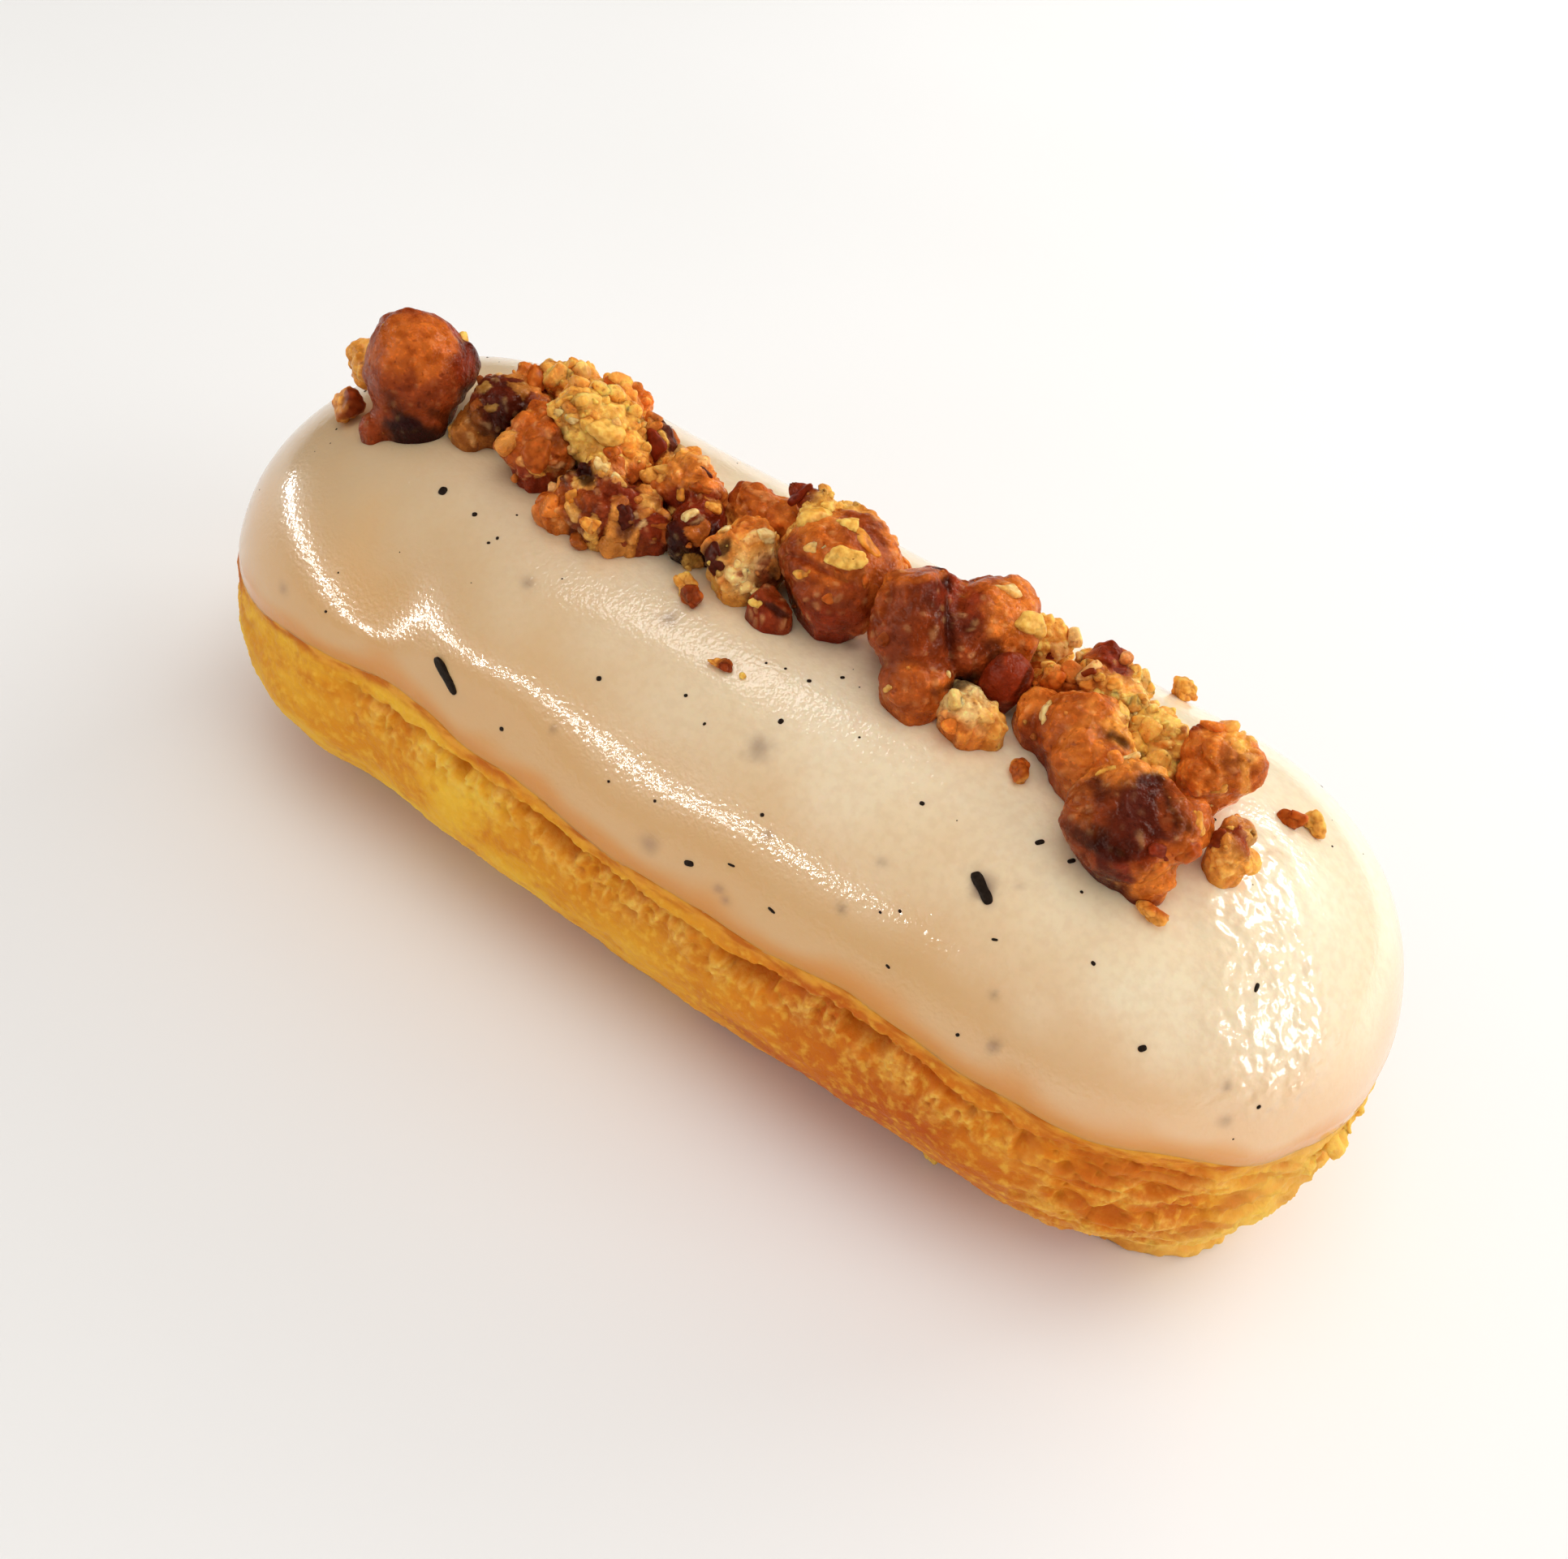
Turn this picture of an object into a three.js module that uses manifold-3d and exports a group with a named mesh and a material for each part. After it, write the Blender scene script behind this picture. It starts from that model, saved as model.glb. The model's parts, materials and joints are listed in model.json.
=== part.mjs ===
// A mini vanilla eclair: a piped choux shell, a dipped vanilla glaze over its upper half and a
// row of candied nut pieces along the crown. Millimetres, +Z up. The flat base rests on z = 0,
// the long axis is X, and -Y is the side with the long tear just under the glaze.

import * as THREE from 'three';
import { mergeVertices } from 'three/addons/utils/BufferGeometryUtils.js';
import Module from 'manifold-3d';

const wasm = await Module();
wasm.setup();

// Driving dimensions of the whole.
const LENGTH = 78;
const WIDTH = 31.8;
const HEIGHT = 24.5; // to the crown of the glaze, without the nuts
const BULGE_HEIGHT = 9.2; // where the shell is widest
const BASE_INSET = 5.3; // how far the base edge lies inside the widest line
const BASE_INSET_RIGHT = 2.5; // the right tip spread further as it baked
const BASE_POWER = 1.6;
const SWELL_X = 2; // the base stands widest here and draws in to both sides
const SWELL_DEPTH = 1.4;
const SWELL_REACH = { left: 21, right: 20 };
const DOME_POWER = 2.5; // 2 would be an ellipse, more is squarer
const END_POWER = 2.12;
const SPINE = LENGTH / 2 - WIDTH / 2; // the straight stretch runs from -SPINE to SPINE

// The waist where the piping bag slowed, on the near side.
const WAIST_X = -19.5;
const WAIST_DEPTH = 0.5;
const WAIST_REACH = 3.6;

// Glaze.
const RIM_HEIGHT = 14.5;
const RIM_SWING = 0.45; // the dipped edge rises and falls this much
const RIM_WAVELENGTH = 37;
const RIM_LOW_X = 1.5;
const RIM_FAR_PHASE = 1.9; // radians by which the far side's swing runs ahead
const RIM_RIPPLE = 0.15;
// Where the near side's edge bends up or down, over a reach along X.
const RIM_BENDS = [
  { x: -33, reach: 5, rise: -0.3 },
  { x: -15, reach: 9, rise: 0.3 },
  { x: 22.5, reach: 4.5, rise: -0.35 },
  { x: 32, reach: 5, rise: 0.65 },
];
const GLAZE_THICKNESS = 1.3;
const WAVE_HEIGHT = 0.14;
const WAVE_SIZE = 19;
const RIM_INSET = 0.45 * GLAZE_THICKNESS; // of the rounded edge's lowest line
const RIM_ROUNDING = { inner: 0.2, outer: 0.35 }; // how far above that line each face starts
const GAP = 0.3; // between pieces that lie on each other
const DOME_GAP = 0.35; // between the shell and the glaze's hidden face
// The crown's area that carries pieces, and how finely the block that cuts them follows it.
const RESTING = { length: 72, width: 24, gap: 0.42, stepsAlong: 12, stepsAcross: 8 };

// Shell surface.
const SHELL_LUMP_HEIGHT = 0.13;
const SHELL_LUMP_SIZE = 7;
const TEAR_DEPTH = 1.9;
const TEAR_HALF_HEIGHT = 0.75;
const TEAR_BELOW_RIM = 1.65;
const TEAR_SPANS = { near: [-20, 25], far: [-25, 19] };
const TEAR_FADE = 6;
const TUCK_UNDER_RIM = 0.5; // the shell's skin draws in just below the glaze
const TUCK_REACH = 0.9;
const FOOT_FLANGE = 0.4; // a thin foot of spread dough round the right end of the base
const FOOT_HEIGHT = 1.4;

// Mesh fineness.
const END_STEPS = 14;
const SPINE_STEPS = 24;
const DOME_STEPS = 10; // rings over the visible dome
const INNER_STEPS = 3; // rings over each hidden face between shell and glaze

const TAU = 2 * Math.PI;

// Eases from 0 at from to 1 at to, which may lie below from.
function ease(from, to, value) {
  const share = THREE.MathUtils.clamp((value - from) / (to - from), 0, 1);
  return share * share * (3 - 2 * share);
}

// A repeatable random number source, 0 to 1.
function randomSource(seed) {
  let state = seed >>> 0;
  return () => {
    state = (state + 0x6d2b79f5) >>> 0;
    let mixed = Math.imul(state ^ (state >>> 15), 1 | state);
    mixed = (mixed + Math.imul(mixed ^ (mixed >>> 7), 61 | mixed)) ^ mixed;
    return ((mixed ^ (mixed >>> 14)) >>> 0) / 4294967296;
  };
}

// Smooth lumps, about -1 to 1, of the given size and different for each seed.
function lumps(x, y, z, size, seed) {
  const k = TAU / size;
  const first = Math.sin(k * (x + 0.6 * y) + seed) * Math.cos(k * (z - 0.4 * x) + 1.7 * seed);
  const second = Math.sin(k * (1.3 * y - 0.7 * z + 0.3 * x) + 2.3 * seed);
  return (first + 0.6 * second) / 1.6;
}

// The body that shell and glaze share.

// How far the base edge lies inside the widest line, along the eclair.
function baseInset(x) {
  const reach = x < SWELL_X ? SWELL_REACH.left : SWELL_REACH.right;
  const away = THREE.MathUtils.clamp((x - SWELL_X) / reach, -2, 2);
  const inset = BASE_INSET + (SWELL_DEPTH * (1 - Math.cos(Math.PI * away))) / 2;
  return THREE.MathUtils.lerp(inset, BASE_INSET_RIGHT, ease(32, 39.5, x));
}

// Half the width at a height, with the surface moved in by inset.
function halfWidth(x, z, inset) {
  if (z <= BULGE_HEIGHT) {
    return WIDTH / 2 - inset - baseInset(x) * (1 - z / BULGE_HEIGHT) ** BASE_POWER;
  }
  const rise = Math.min(1, (z - BULGE_HEIGHT) / (HEIGHT - inset - BULGE_HEIGHT));
  return (WIDTH / 2 - inset) * (1 - rise ** DOME_POWER) ** (1 / DOME_POWER);
}

// The dome's half width and height at an angle above its widest line, 90 degrees being the crown.
function domePoint(angle, inset) {
  const across = Math.max(0, Math.cos(angle)) ** (2 / DOME_POWER);
  const up = Math.sin(angle) ** (2 / DOME_POWER);
  const crown = HEIGHT - inset - BULGE_HEIGHT;
  return { r: (WIDTH / 2 - inset) * across, z: BULGE_HEIGHT + crown * up };
}

function domeAngle(z, inset) {
  const rise = (z - BULGE_HEIGHT) / (HEIGHT - inset - BULGE_HEIGHT);
  return Math.asin(rise ** (DOME_POWER / 2));
}

// The height of the glaze's outer face over a point of the plan.
function crownHeight(x, y) {
  const past = Math.max(0, Math.abs(x) - SPINE);
  const out = (past ** END_POWER + Math.abs(y) ** END_POWER) ** (1 / END_POWER);
  const share = Math.min(1, out / (WIDTH / 2));
  return BULGE_HEIGHT + (HEIGHT - BULGE_HEIGHT) * (1 - share ** DOME_POWER) ** (1 / DOME_POWER);
}

// How far the waist draws the surface in at a point.
function waist(x, y) {
  const along = Math.exp(-(((x - WAIST_X) / WAIST_REACH) ** 2));
  return WAIST_DEPTH * along * ease(2, -WIDTH / 2, y);
}

// The height of the dipped edge, which wanders round the eclair.
function rimHeight(x, y) {
  const phase = RIM_FAR_PHASE * ease(-WIDTH / 3, WIDTH / 3, y);
  const swing = -Math.cos((TAU * (x - RIM_LOW_X)) / RIM_WAVELENGTH + phase);
  const ripple = Math.sin(0.62 * x + 0.5 * y + 1.1);
  const near = ease(4, -8, y);
  const bends = RIM_BENDS.map((bend) => bend.rise * Math.exp(-(((x - bend.x) / bend.reach) ** 2)));
  const bent = near * bends.reduce((sum, rise) => sum + rise, 0);
  return RIM_HEIGHT + RIM_SWING * swing + RIM_RIPPLE * ripple + bent;
}

// Slow waves of the glaze's outer face.
function glazeWave(x, y, z) {
  return WAVE_HEIGHT * lumps(x, y, z, WAVE_SIZE, 4.1);
}

// Rings round the plan.

// Stations round the plan: a spine point and the unit direction out of it.
function planStations() {
  const stations = [];
  const power = (value) => Math.sign(value) * Math.abs(value) ** (2 / END_POWER);
  const end = (spine, from) => {
    for (let i = 0; i <= END_STEPS; i++) {
      const angle = from + (Math.PI * i) / END_STEPS;
      stations.push({ spine, dx: power(Math.cos(angle)), dy: power(Math.sin(angle)) });
    }
  };
  end(SPINE_STEPS, -Math.PI / 2);
  for (let k = SPINE_STEPS - 1; k > 0; k--) stations.push({ spine: k, dx: 0, dy: 1 });
  end(0, Math.PI / 2);
  for (let k = 1; k < SPINE_STEPS; k++) stations.push({ spine: k, dx: 0, dy: -1 });
  return stations;
}

const STATIONS = planStations();

function spineX(index) {
  return SPINE * ((2 * index) / SPINE_STEPS - 1);
}

// A ring: shape(x, y) gives { r, z } at each station, where x and y are its place on the
// widest outline. The waist and any relief move the surface in.
function ring(shape, relief = () => 0) {
  return STATIONS.map(({ spine, dx, dy }) => {
    const edge = { x: spineX(spine) + (dx * WIDTH) / 2, y: (dy * WIDTH) / 2 };
    const { r, z } = shape(edge.x, edge.y);
    const share = r / (WIDTH / 2);
    const out = r - waist(edge.x, edge.y) * share - relief(edge.x, edge.y, z);
    return new THREE.Vector3(spineX(spine) + dx * out, dy * out, z);
  });
}

// The line of spine points at a height, which closes a stack of rings.
function spineLine(z) {
  return Array.from({ length: SPINE_STEPS + 1 }, (_, k) => new THREE.Vector3(spineX(k), 0, z));
}

// A closed surface: a spine line, the rings in turn, and a second spine line.
function loft(firstLine, rings, lastLine) {
  const points = [...firstLine, ...rings.flat(), ...lastLine];
  const count = STATIONS.length;
  const ringStart = (j) => firstLine.length + j * count;
  const lastStart = ringStart(rings.length);
  const faces = [];
  const quad = (a, b, c, d) => {
    if (a !== b) faces.push(a, b, c);
    if (c !== d) faces.push(a, c, d);
  };
  for (let i = 0; i < count; i++) {
    const next = (i + 1) % count;
    const here = STATIONS[i].spine;
    const there = STATIONS[next].spine;
    quad(here, there, ringStart(0) + next, ringStart(0) + i);
    for (let j = 0; j + 1 < rings.length; j++) {
      const low = ringStart(j);
      const high = ringStart(j + 1);
      quad(low + i, low + next, high + next, high + i);
    }
    const top = ringStart(rings.length - 1);
    quad(top + i, top + next, lastStart + there, lastStart + here);
  }
  const geometry = new THREE.BufferGeometry().setFromPoints(points);
  geometry.setIndex(faces);
  return geometry;
}

// Choux shell.

// How deep the long tear is at a point: it follows the rim, ragged, and fades at both ends.
function tear(x, y, z) {
  const [from, to] = y < 0 ? TEAR_SPANS.near : TEAR_SPANS.far;
  const span = ease(from - TEAR_FADE / 2, from + TEAR_FADE / 2, x)
    * ease(to + TEAR_FADE / 2, to - TEAR_FADE / 2, x);
  const ragged = 0.85 + 0.3 * Math.sin(0.8 * x + y) * Math.cos(0.31 * x);
  const centre = rimHeight(x, y) - TEAR_BELOW_RIM + 0.15 * Math.sin(0.5 * x + 1);
  const across = Math.exp(-(((z - centre) / TEAR_HALF_HEIGHT) ** 2));
  return TEAR_DEPTH * span * ragged * across;
}

// How far the skin lies inside the smooth body: lumps, the tear, the tuck and the foot.
function shellRelief(x, y, z) {
  const low = ease(0, 2, z);
  const rough = SHELL_LUMP_HEIGHT * (1 + lumps(x, y, z, SHELL_LUMP_SIZE, 2.2));
  const rim = rimHeight(x, y);
  const tuck = TUCK_UNDER_RIM * ease(rim - TUCK_REACH, rim - GAP, z);
  const foot = FOOT_FLANGE * ease(27, 37, x) * ease(FOOT_HEIGHT, 0.3, z);
  return low * (rough + tear(x, y, z)) + tuck - foot;
}

function chouxShell() {
  // Shares of the height from the base to the rim, close together across the tear.
  const shares = [0, 0.03, 0.1, 0.24, 0.42, 0.6, 0.73, 0.8, 0.845, 0.88, 0.91, 0.95, 1];
  const ledge = GLAZE_THICKNESS + DOME_GAP;
  const rings = shares.map((share) => ring((x, y) => {
    const z = share * (rimHeight(x, y) - GAP);
    return { r: halfWidth(x, z, 0), z };
  }, shellRelief));
  for (let k = 0; k < INNER_STEPS; k++) {
    rings.push(ring((x, y) => {
      const from = domeAngle(rimHeight(x, y) - GAP + 0.1, ledge);
      return domePoint(THREE.MathUtils.lerp(from, Math.PI / 2, k / INNER_STEPS), ledge);
    }));
  }
  return loft(spineLine(0), rings, spineLine(HEIGHT - ledge));
}

// Torn scraps of skin that stand out under the glaze at the right end.
const SCRAPS = [
  { x: 37.8, y: -4.3, z: 12.6, size: [1.5, 1.9, 1.7], seed: 21 },
  { x: 36.9, y: -5.9, z: 11.9, size: [1.5, 2.0, 1.5], seed: 22 },
  { x: 38.0, y: -3.0, z: 13.1, size: [1.2, 1.5, 1.3], seed: 23 },
];

// Vanilla glaze.

// Rings from the rim to the crown on one face of the glaze.
function glazeRings(steps, inset, lift, backwards) {
  const rings = [];
  for (let k = 0; k < steps; k++) {
    const share = k / steps;
    rings.push(ring((x, y) => {
      const from = domeAngle(rimHeight(x, y) + lift, inset);
      return domePoint(THREE.MathUtils.lerp(from, Math.PI / 2, share), inset);
    }, (x, y, z) => -glazeWave(x, y, z) * Math.min(1, 2 * share)));
  }
  return backwards ? rings.reverse() : rings;
}

function vanillaGlaze() {
  const rings = [
    ...glazeRings(INNER_STEPS, GLAZE_THICKNESS, RIM_ROUNDING.inner, true),
    ring((x, y) => {
      const z = rimHeight(x, y);
      return { r: halfWidth(x, z, RIM_INSET), z };
    }),
    ...glazeRings(DOME_STEPS, 0, RIM_ROUNDING.outer, false),
  ];
  return loft(spineLine(HEIGHT - GLAZE_THICKNESS), rings, spineLine(HEIGHT));
}

// A block whose top follows the crown at the gap above the glaze: it cuts what rests there.
function restingCutter() {
  const { length, width, stepsAlong, stepsAcross } = RESTING;
  const block = new THREE.BoxGeometry(length, width, HEIGHT, stepsAlong, stepsAcross, 1);
  const position = block.getAttribute('position');
  for (let i = 0; i < position.count; i++) {
    if (position.getZ(i) > 0) {
      position.setZ(i, crownHeight(position.getX(i), position.getY(i)) + RESTING.gap);
    }
  }
  return block;
}

// Broken lumps: nut pieces, crumbs and scraps.

// Directions spread evenly over a ball and then jittered.
function facetNormals(count, random) {
  const golden = Math.PI * (3 - Math.sqrt(5));
  return Array.from({ length: count }, (_, i) => {
    const up = 1 - (2 * (i + 0.5)) / count;
    const across = Math.sqrt(1 - up * up);
    const normal = new THREE.Vector3(across * Math.cos(golden * i), across * Math.sin(golden * i), up);
    normal.x += 0.6 * (random() - 0.5);
    normal.y += 0.6 * (random() - 0.5);
    normal.z += 0.6 * (random() - 0.5);
    return normal.normalize();
  });
}

// A lump as broken nut has: a rounded block with uneven flats and knobs, size across X, Y and Z.
// smooth is 1 for a whole kernel and 0 for a sharply broken piece.
function lumpGeometry({ size, seed, detail, smooth, grow }) {
  const random = randomSource(seed);
  const flats = facetNormals(10, random).map((normal) => ({ normal, reach: 0.72 + 0.36 * random() }));
  const knobs = facetNormals(5, random).map((normal) => ({
    normal,
    height: (0.06 + 0.2 * random()) * (1 - smooth),
  }));
  const sharpness = THREE.MathUtils.lerp(14, 4, smooth);
  const geometry = new THREE.IcosahedronGeometry(1, detail);
  const position = geometry.getAttribute('position');
  const direction = new THREE.Vector3();
  for (let i = 0; i < position.count; i++) {
    direction.fromBufferAttribute(position, i).normalize();
    let sum = 0;
    for (const { normal, reach } of flats) {
      sum += Math.max(0, direction.dot(normal) / reach) ** sharpness;
    }
    let radius = THREE.MathUtils.lerp(1.06 * sum ** (-1 / sharpness), 1, smooth);
    for (const { normal, height } of knobs) {
      radius += height * Math.exp(9 * (direction.dot(normal) - 1));
    }
    position.setXYZ(
      i,
      direction.x * ((radius * size[0]) / 2 + grow),
      direction.y * ((radius * size[1]) / 2 + grow),
      direction.z * ((radius * size[2]) / 2 + grow),
    );
  }
  return geometry;
}

// Each nut piece is a few lumps grown together, largest first. A lump is: x and y on the crown,
// height of its centre above the glaze, and its size across X, Y and Z.
const NUTS = [
  {
    name: 'nut_hazel',
    smooth: 0.85,
    look: 'amber',
    lumps: [
      [-26.7, -3.5, 3.1, 6.0, 6.0, 6.9],
      [-26.2, -4.6, 1.1, 4.4, 3.4, 2.8],
      [-25.1, -1.8, 3.1, 2.2, 2.6, 2.8],
      [-30.3, -3.9, 2.8, 2.4, 2.0, 2.8],
      [-27.6, -6.3, 0.6, 1.6, 1.5, 1.5],
    ],
  },
  {
    name: 'nut_dark_crumble',
    smooth: 0.2,
    look: 'brown',
    lumps: [
      [-21.5, -1.4, 1.8, 4.2, 4.2, 4.2],
      [-21.7, 0.4, 3.0, 1.6, 1.7, 2.4],
      [-22.9, -3.0, 0.9, 3.2, 2.5, 2.2],
    ],
  },
  {
    name: 'nut_back_crumble',
    smooth: 0.1,
    look: 'pale',
    lumps: [
      [-19.9, 1.9, 1.8, 4.2, 3.8, 4.2],
      [-17.6, 2.7, 1.9, 4.2, 3.4, 3.8],
      [-17.0, 4.3, 1.9, 1.9, 1.9, 2.2],
    ],
  },
  {
    name: 'nut_orange',
    smooth: 0.2,
    look: 'amber',
    lumps: [
      [-17.8, -2.9, 1.7, 3.6, 3.6, 4.0],
      [-18.6, -2.1, 2.6, 2.0, 1.9, 2.2],
    ],
  },
  {
    name: 'nut_golden',
    smooth: 0.1,
    look: 'pale',
    lumps: [
      [-14.9, -0.8, 2.5, 4.6, 4.2, 5.0],
      [-13.5, -2.2, 2.1, 3.2, 3.0, 3.4],
      [-12.9, 1.2, 2.2, 2.8, 2.7, 3.2],
      [-16.6, 0.0, 3.0, 2.0, 2.0, 2.2],
    ],
  },
  {
    name: 'nut_low_crumble',
    smooth: 0.1,
    look: 'brown',
    lumps: [
      [-12.6, -4.3, 1.4, 4.6, 4.0, 3.8],
      [-10.2, -3.7, 1.3, 4.0, 3.6, 3.4],
      [-14.2, -5.0, 0.8, 2.4, 2.2, 2.2],
    ],
  },
  {
    name: 'nut_column',
    smooth: 0.2,
    look: 'brown',
    lumps: [
      [-8.7, -0.8, 2.2, 3.6, 3.4, 3.8],
      [-7.0, -2.4, 1.5, 3.2, 3.6, 3.6],
      [-9.8, -2.2, 1.9, 2.2, 2.2, 2.4],
    ],
  },
  {
    name: 'nut_brown_cap',
    smooth: 0.3,
    look: 'brown',
    lumps: [
      [-4.8, 0.5, 1.9, 4.4, 3.6, 4.0],
      [-3.2, 1.0, 2.3, 3.0, 2.6, 3.0],
    ],
  },
  {
    name: 'nut_pale',
    smooth: 0.3,
    look: 'pale',
    lumps: [
      [-3.3, -2.7, 1.6, 3.9, 3.8, 3.8],
      [-4.0, -1.7, 2.5, 2.2, 2.2, 2.2],
    ],
  },
  {
    name: 'nut_brown',
    smooth: 0.5,
    look: 'brown',
    lumps: [
      [1.5, -1.3, 2.8, 6.3, 5.8, 6.2],
      [0.6, 1.3, 3.4, 4.6, 2.4, 3.4],
      [-1.2, 0.3, 4.3, 1.5, 1.2, 2.8],
      [-2.4, 0.6, 4.9, 1.9, 0.9, 1.0],
      [2.2, -2.9, 5.3, 1.9, 1.1, 1.0],
    ],
  },
  {
    name: 'nut_dark_chip',
    smooth: 0.3,
    look: 'brown',
    lumps: [
      [-0.7, -4.1, 0.8, 2.5, 2.2, 2.0],
    ],
  },
  {
    name: 'nut_walnut',
    smooth: 0.4,
    look: 'brown',
    lumps: [
      [7.0, -1.6, 2.7, 5.0, 6.0, 5.8],
      [9.8, 0.4, 2.7, 5.0, 5.4, 5.6],
      [8.7, -4.3, 1.5, 3.2, 3.3, 3.1],
    ],
  },
  {
    name: 'nut_knob',
    smooth: 0.9,
    look: 'brown',
    lumps: [
      [12.1, -1.2, 1.9, 3.0, 3.0, 3.4],
    ],
  },
  {
    name: 'nut_white',
    smooth: 0.2,
    look: 'pale',
    lumps: [
      [11.9, -3.9, 1.0, 3.4, 2.6, 2.4],
      [13.3, -3.6, 0.8, 1.8, 1.8, 1.8],
    ],
  },
  {
    name: 'nut_yellow_chip',
    smooth: 0.1,
    look: 'pale',
    lumps: [
      [11.8, 3.9, 1.5, 3.0, 2.6, 3.0],
      [12.9, 4.3, 1.3, 1.6, 1.7, 2.2],
    ],
  },
  {
    name: 'nut_mixed_crumble',
    smooth: 0.1,
    look: 'pale',
    lumps: [
      [17.3, 1.4, 1.8, 4.0, 3.2, 3.8],
      [16.2, 2.7, 2.0, 3.0, 2.8, 3.4],
      [14.6, 0.6, 1.4, 2.2, 2.2, 2.6],
      [17.9, 3.6, 1.4, 1.8, 1.7, 2.2],
    ],
  },
  {
    name: 'nut_pale_gold',
    smooth: 0.2,
    look: 'pale',
    lumps: [
      [20.3, 0.7, 1.7, 3.4, 3.0, 3.2],
      [21.2, -0.9, 1.1, 2.0, 2.0, 2.2],
    ],
  },
  {
    name: 'nut_amber',
    smooth: 0.4,
    look: 'amber',
    lumps: [
      [17.0, -2.0, 2.2, 3.9, 3.6, 4.4],
      [18.3, -3.2, 1.7, 3.4, 3.4, 3.6],
      [14.7, -1.7, 1.2, 2.6, 2.6, 2.6],
    ],
  },
  {
    name: 'nut_dark_roast',
    smooth: 0.4,
    look: 'brown',
    lumps: [
      [21.8, -5.8, 2.3, 6.4, 5.2, 5.0],
      [24.3, -4.1, 2.0, 2.0, 2.6, 3.2],
      [24.1, -6.9, 0.9, 2.3, 2.1, 2.0],
    ],
  },
  {
    name: 'nut_end_amber',
    smooth: 0.4,
    look: 'amber',
    lumps: [
      [23.6, 0.1, 2.3, 3.9, 3.9, 4.6],
      [22.4, 0.1, 4.1, 1.4, 1.1, 1.0],
    ],
  },
  {
    name: 'nut_end_chip',
    smooth: 0.2,
    look: 'amber',
    lumps: [
      [26.6, -3.6, 1.2, 1.9, 2.0, 2.6],
      [26.3, -2.7, 1.9, 1.3, 1.2, 1.3],
    ],
  },
];

// Crumbs that lie apart on the glaze and are fused to it: place and size.
const LOOSE_CRUMBS = [
  [-30.7, -5.4, 2.2, 1.9, 2.2],
  [-25.2, 1.4, 1.7, 1.6, 1.9],
  [-5.5, -5.2, 1.2, 1.1, 1.2],
  [-4.5, -5.7, 1.4, 1.2, 1.3],
  [-0.8, -8.1, 1.2, 0.9, 0.9],
  [12.9, 2.2, 1.3, 1.2, 1.4],
  [15.6, -4.6, 1.2, 1.5, 1.2],
  [19.1, 10.3, 1.5, 1.3, 1.4],
  [25.0, -8.0, 1.5, 1.3, 1.4],
  [28.7, 3.4, 2.2, 1.4, 1.4],
];
const CRUMB_LIFT = 0.3; // of a loose crumb's height, centre above the glaze

// Joining and cutting closed solids.

function solidOf(geometry) {
  const plain = geometry.clone();
  plain.deleteAttribute('normal');
  plain.deleteAttribute('uv');
  const merged = mergeVertices(plain, 1e-5);
  return new wasm.Manifold(new wasm.Mesh({
    numProp: 3,
    vertProperties: new Float32Array(merged.getAttribute('position').array),
    triVerts: new Uint32Array(merged.getIndex().array),
  }));
}

// The largest body of a cut or join, as a three.js geometry with flat shading.
function geometryOf(solid) {
  const bodies = solid.decompose();
  const largest = bodies.reduce((best, body) => (body.volume() > best.volume() ? body : best));
  const { vertProperties, triVerts } = largest.getMesh();
  const geometry = new THREE.BufferGeometry();
  geometry.setAttribute('position', new THREE.BufferAttribute(new Float32Array(vertProperties), 3));
  geometry.setIndex(new THREE.BufferAttribute(new Uint32Array(triVerts), 1));
  geometry.computeVertexNormals();
  return geometry;
}

function lumpSolid({ x, y, z, size, seed, detail = 1, smooth = 0.1, grow = 0 }) {
  return solidOf(lumpGeometry({ size, seed, detail, smooth, grow }).translate(x, y, z));
}

// Small lumps need fewer flats than large ones.
function detailFor(size) {
  const across = Math.max(...size);
  if (across > 4.1) return 2;
  return across > 2.3 ? 1 : 0;
}

function nutSolid({ name, smooth, lumps: parts }, grow) {
  const solids = parts.map(([x, y, lift, ...size], i) => lumpSolid({
    x,
    y,
    z: crownHeight(x, y) + lift,
    size,
    seed: 10 * NUTS.findIndex((nut) => nut.name === name) + i + 1,
    detail: detailFor(size),
    smooth: i === 0 ? smooth : 0.6 * smooth,
    grow,
  }));
  return wasm.Manifold.union(solids);
}

function looseCrumbs(grow) {
  return wasm.Manifold.union(LOOSE_CRUMBS.map(([x, y, ...size], i) => lumpSolid({
    x,
    y,
    z: crownHeight(x, y) + CRUMB_LIFT * size[2],
    size,
    seed: 500 + i,
    detail: detailFor(size),
    grow,
  })));
}

// Materials and meshes.

function material(color, roughness) {
  return new THREE.MeshStandardMaterial({ color, roughness, metalness: 0 });
}

const CHOUX = material(0xd8923a, 0.75);
const GLAZE = material(0xe0c49a, 0.2);
const CARAMEL_BROWN = material(0x8a4a20, 0.45);
const CARAMEL_AMBER = material(0xbf6d22, 0.4);
const NUT_PALE = material(0xd8a050, 0.55);

const NUT_MATERIALS = { brown: CARAMEL_BROWN, amber: CARAMEL_AMBER, pale: NUT_PALE };

function mesh(name, geometry, meshMaterial) {
  const made = new THREE.Mesh(geometry, meshMaterial);
  made.name = name;
  return made;
}

function shellMesh() {
  const scraps = SCRAPS.map((scrap) => lumpSolid({ ...scrap, smooth: 0 }));
  const solid = wasm.Manifold.union([solidOf(chouxShell()), ...scraps]);
  return mesh('choux_shell', geometryOf(solid), CHOUX);
}

function glazeMesh() {
  const solid = solidOf(vanillaGlaze()).add(looseCrumbs(0));
  return mesh('vanilla_glaze', geometryOf(solid), GLAZE);
}

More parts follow.
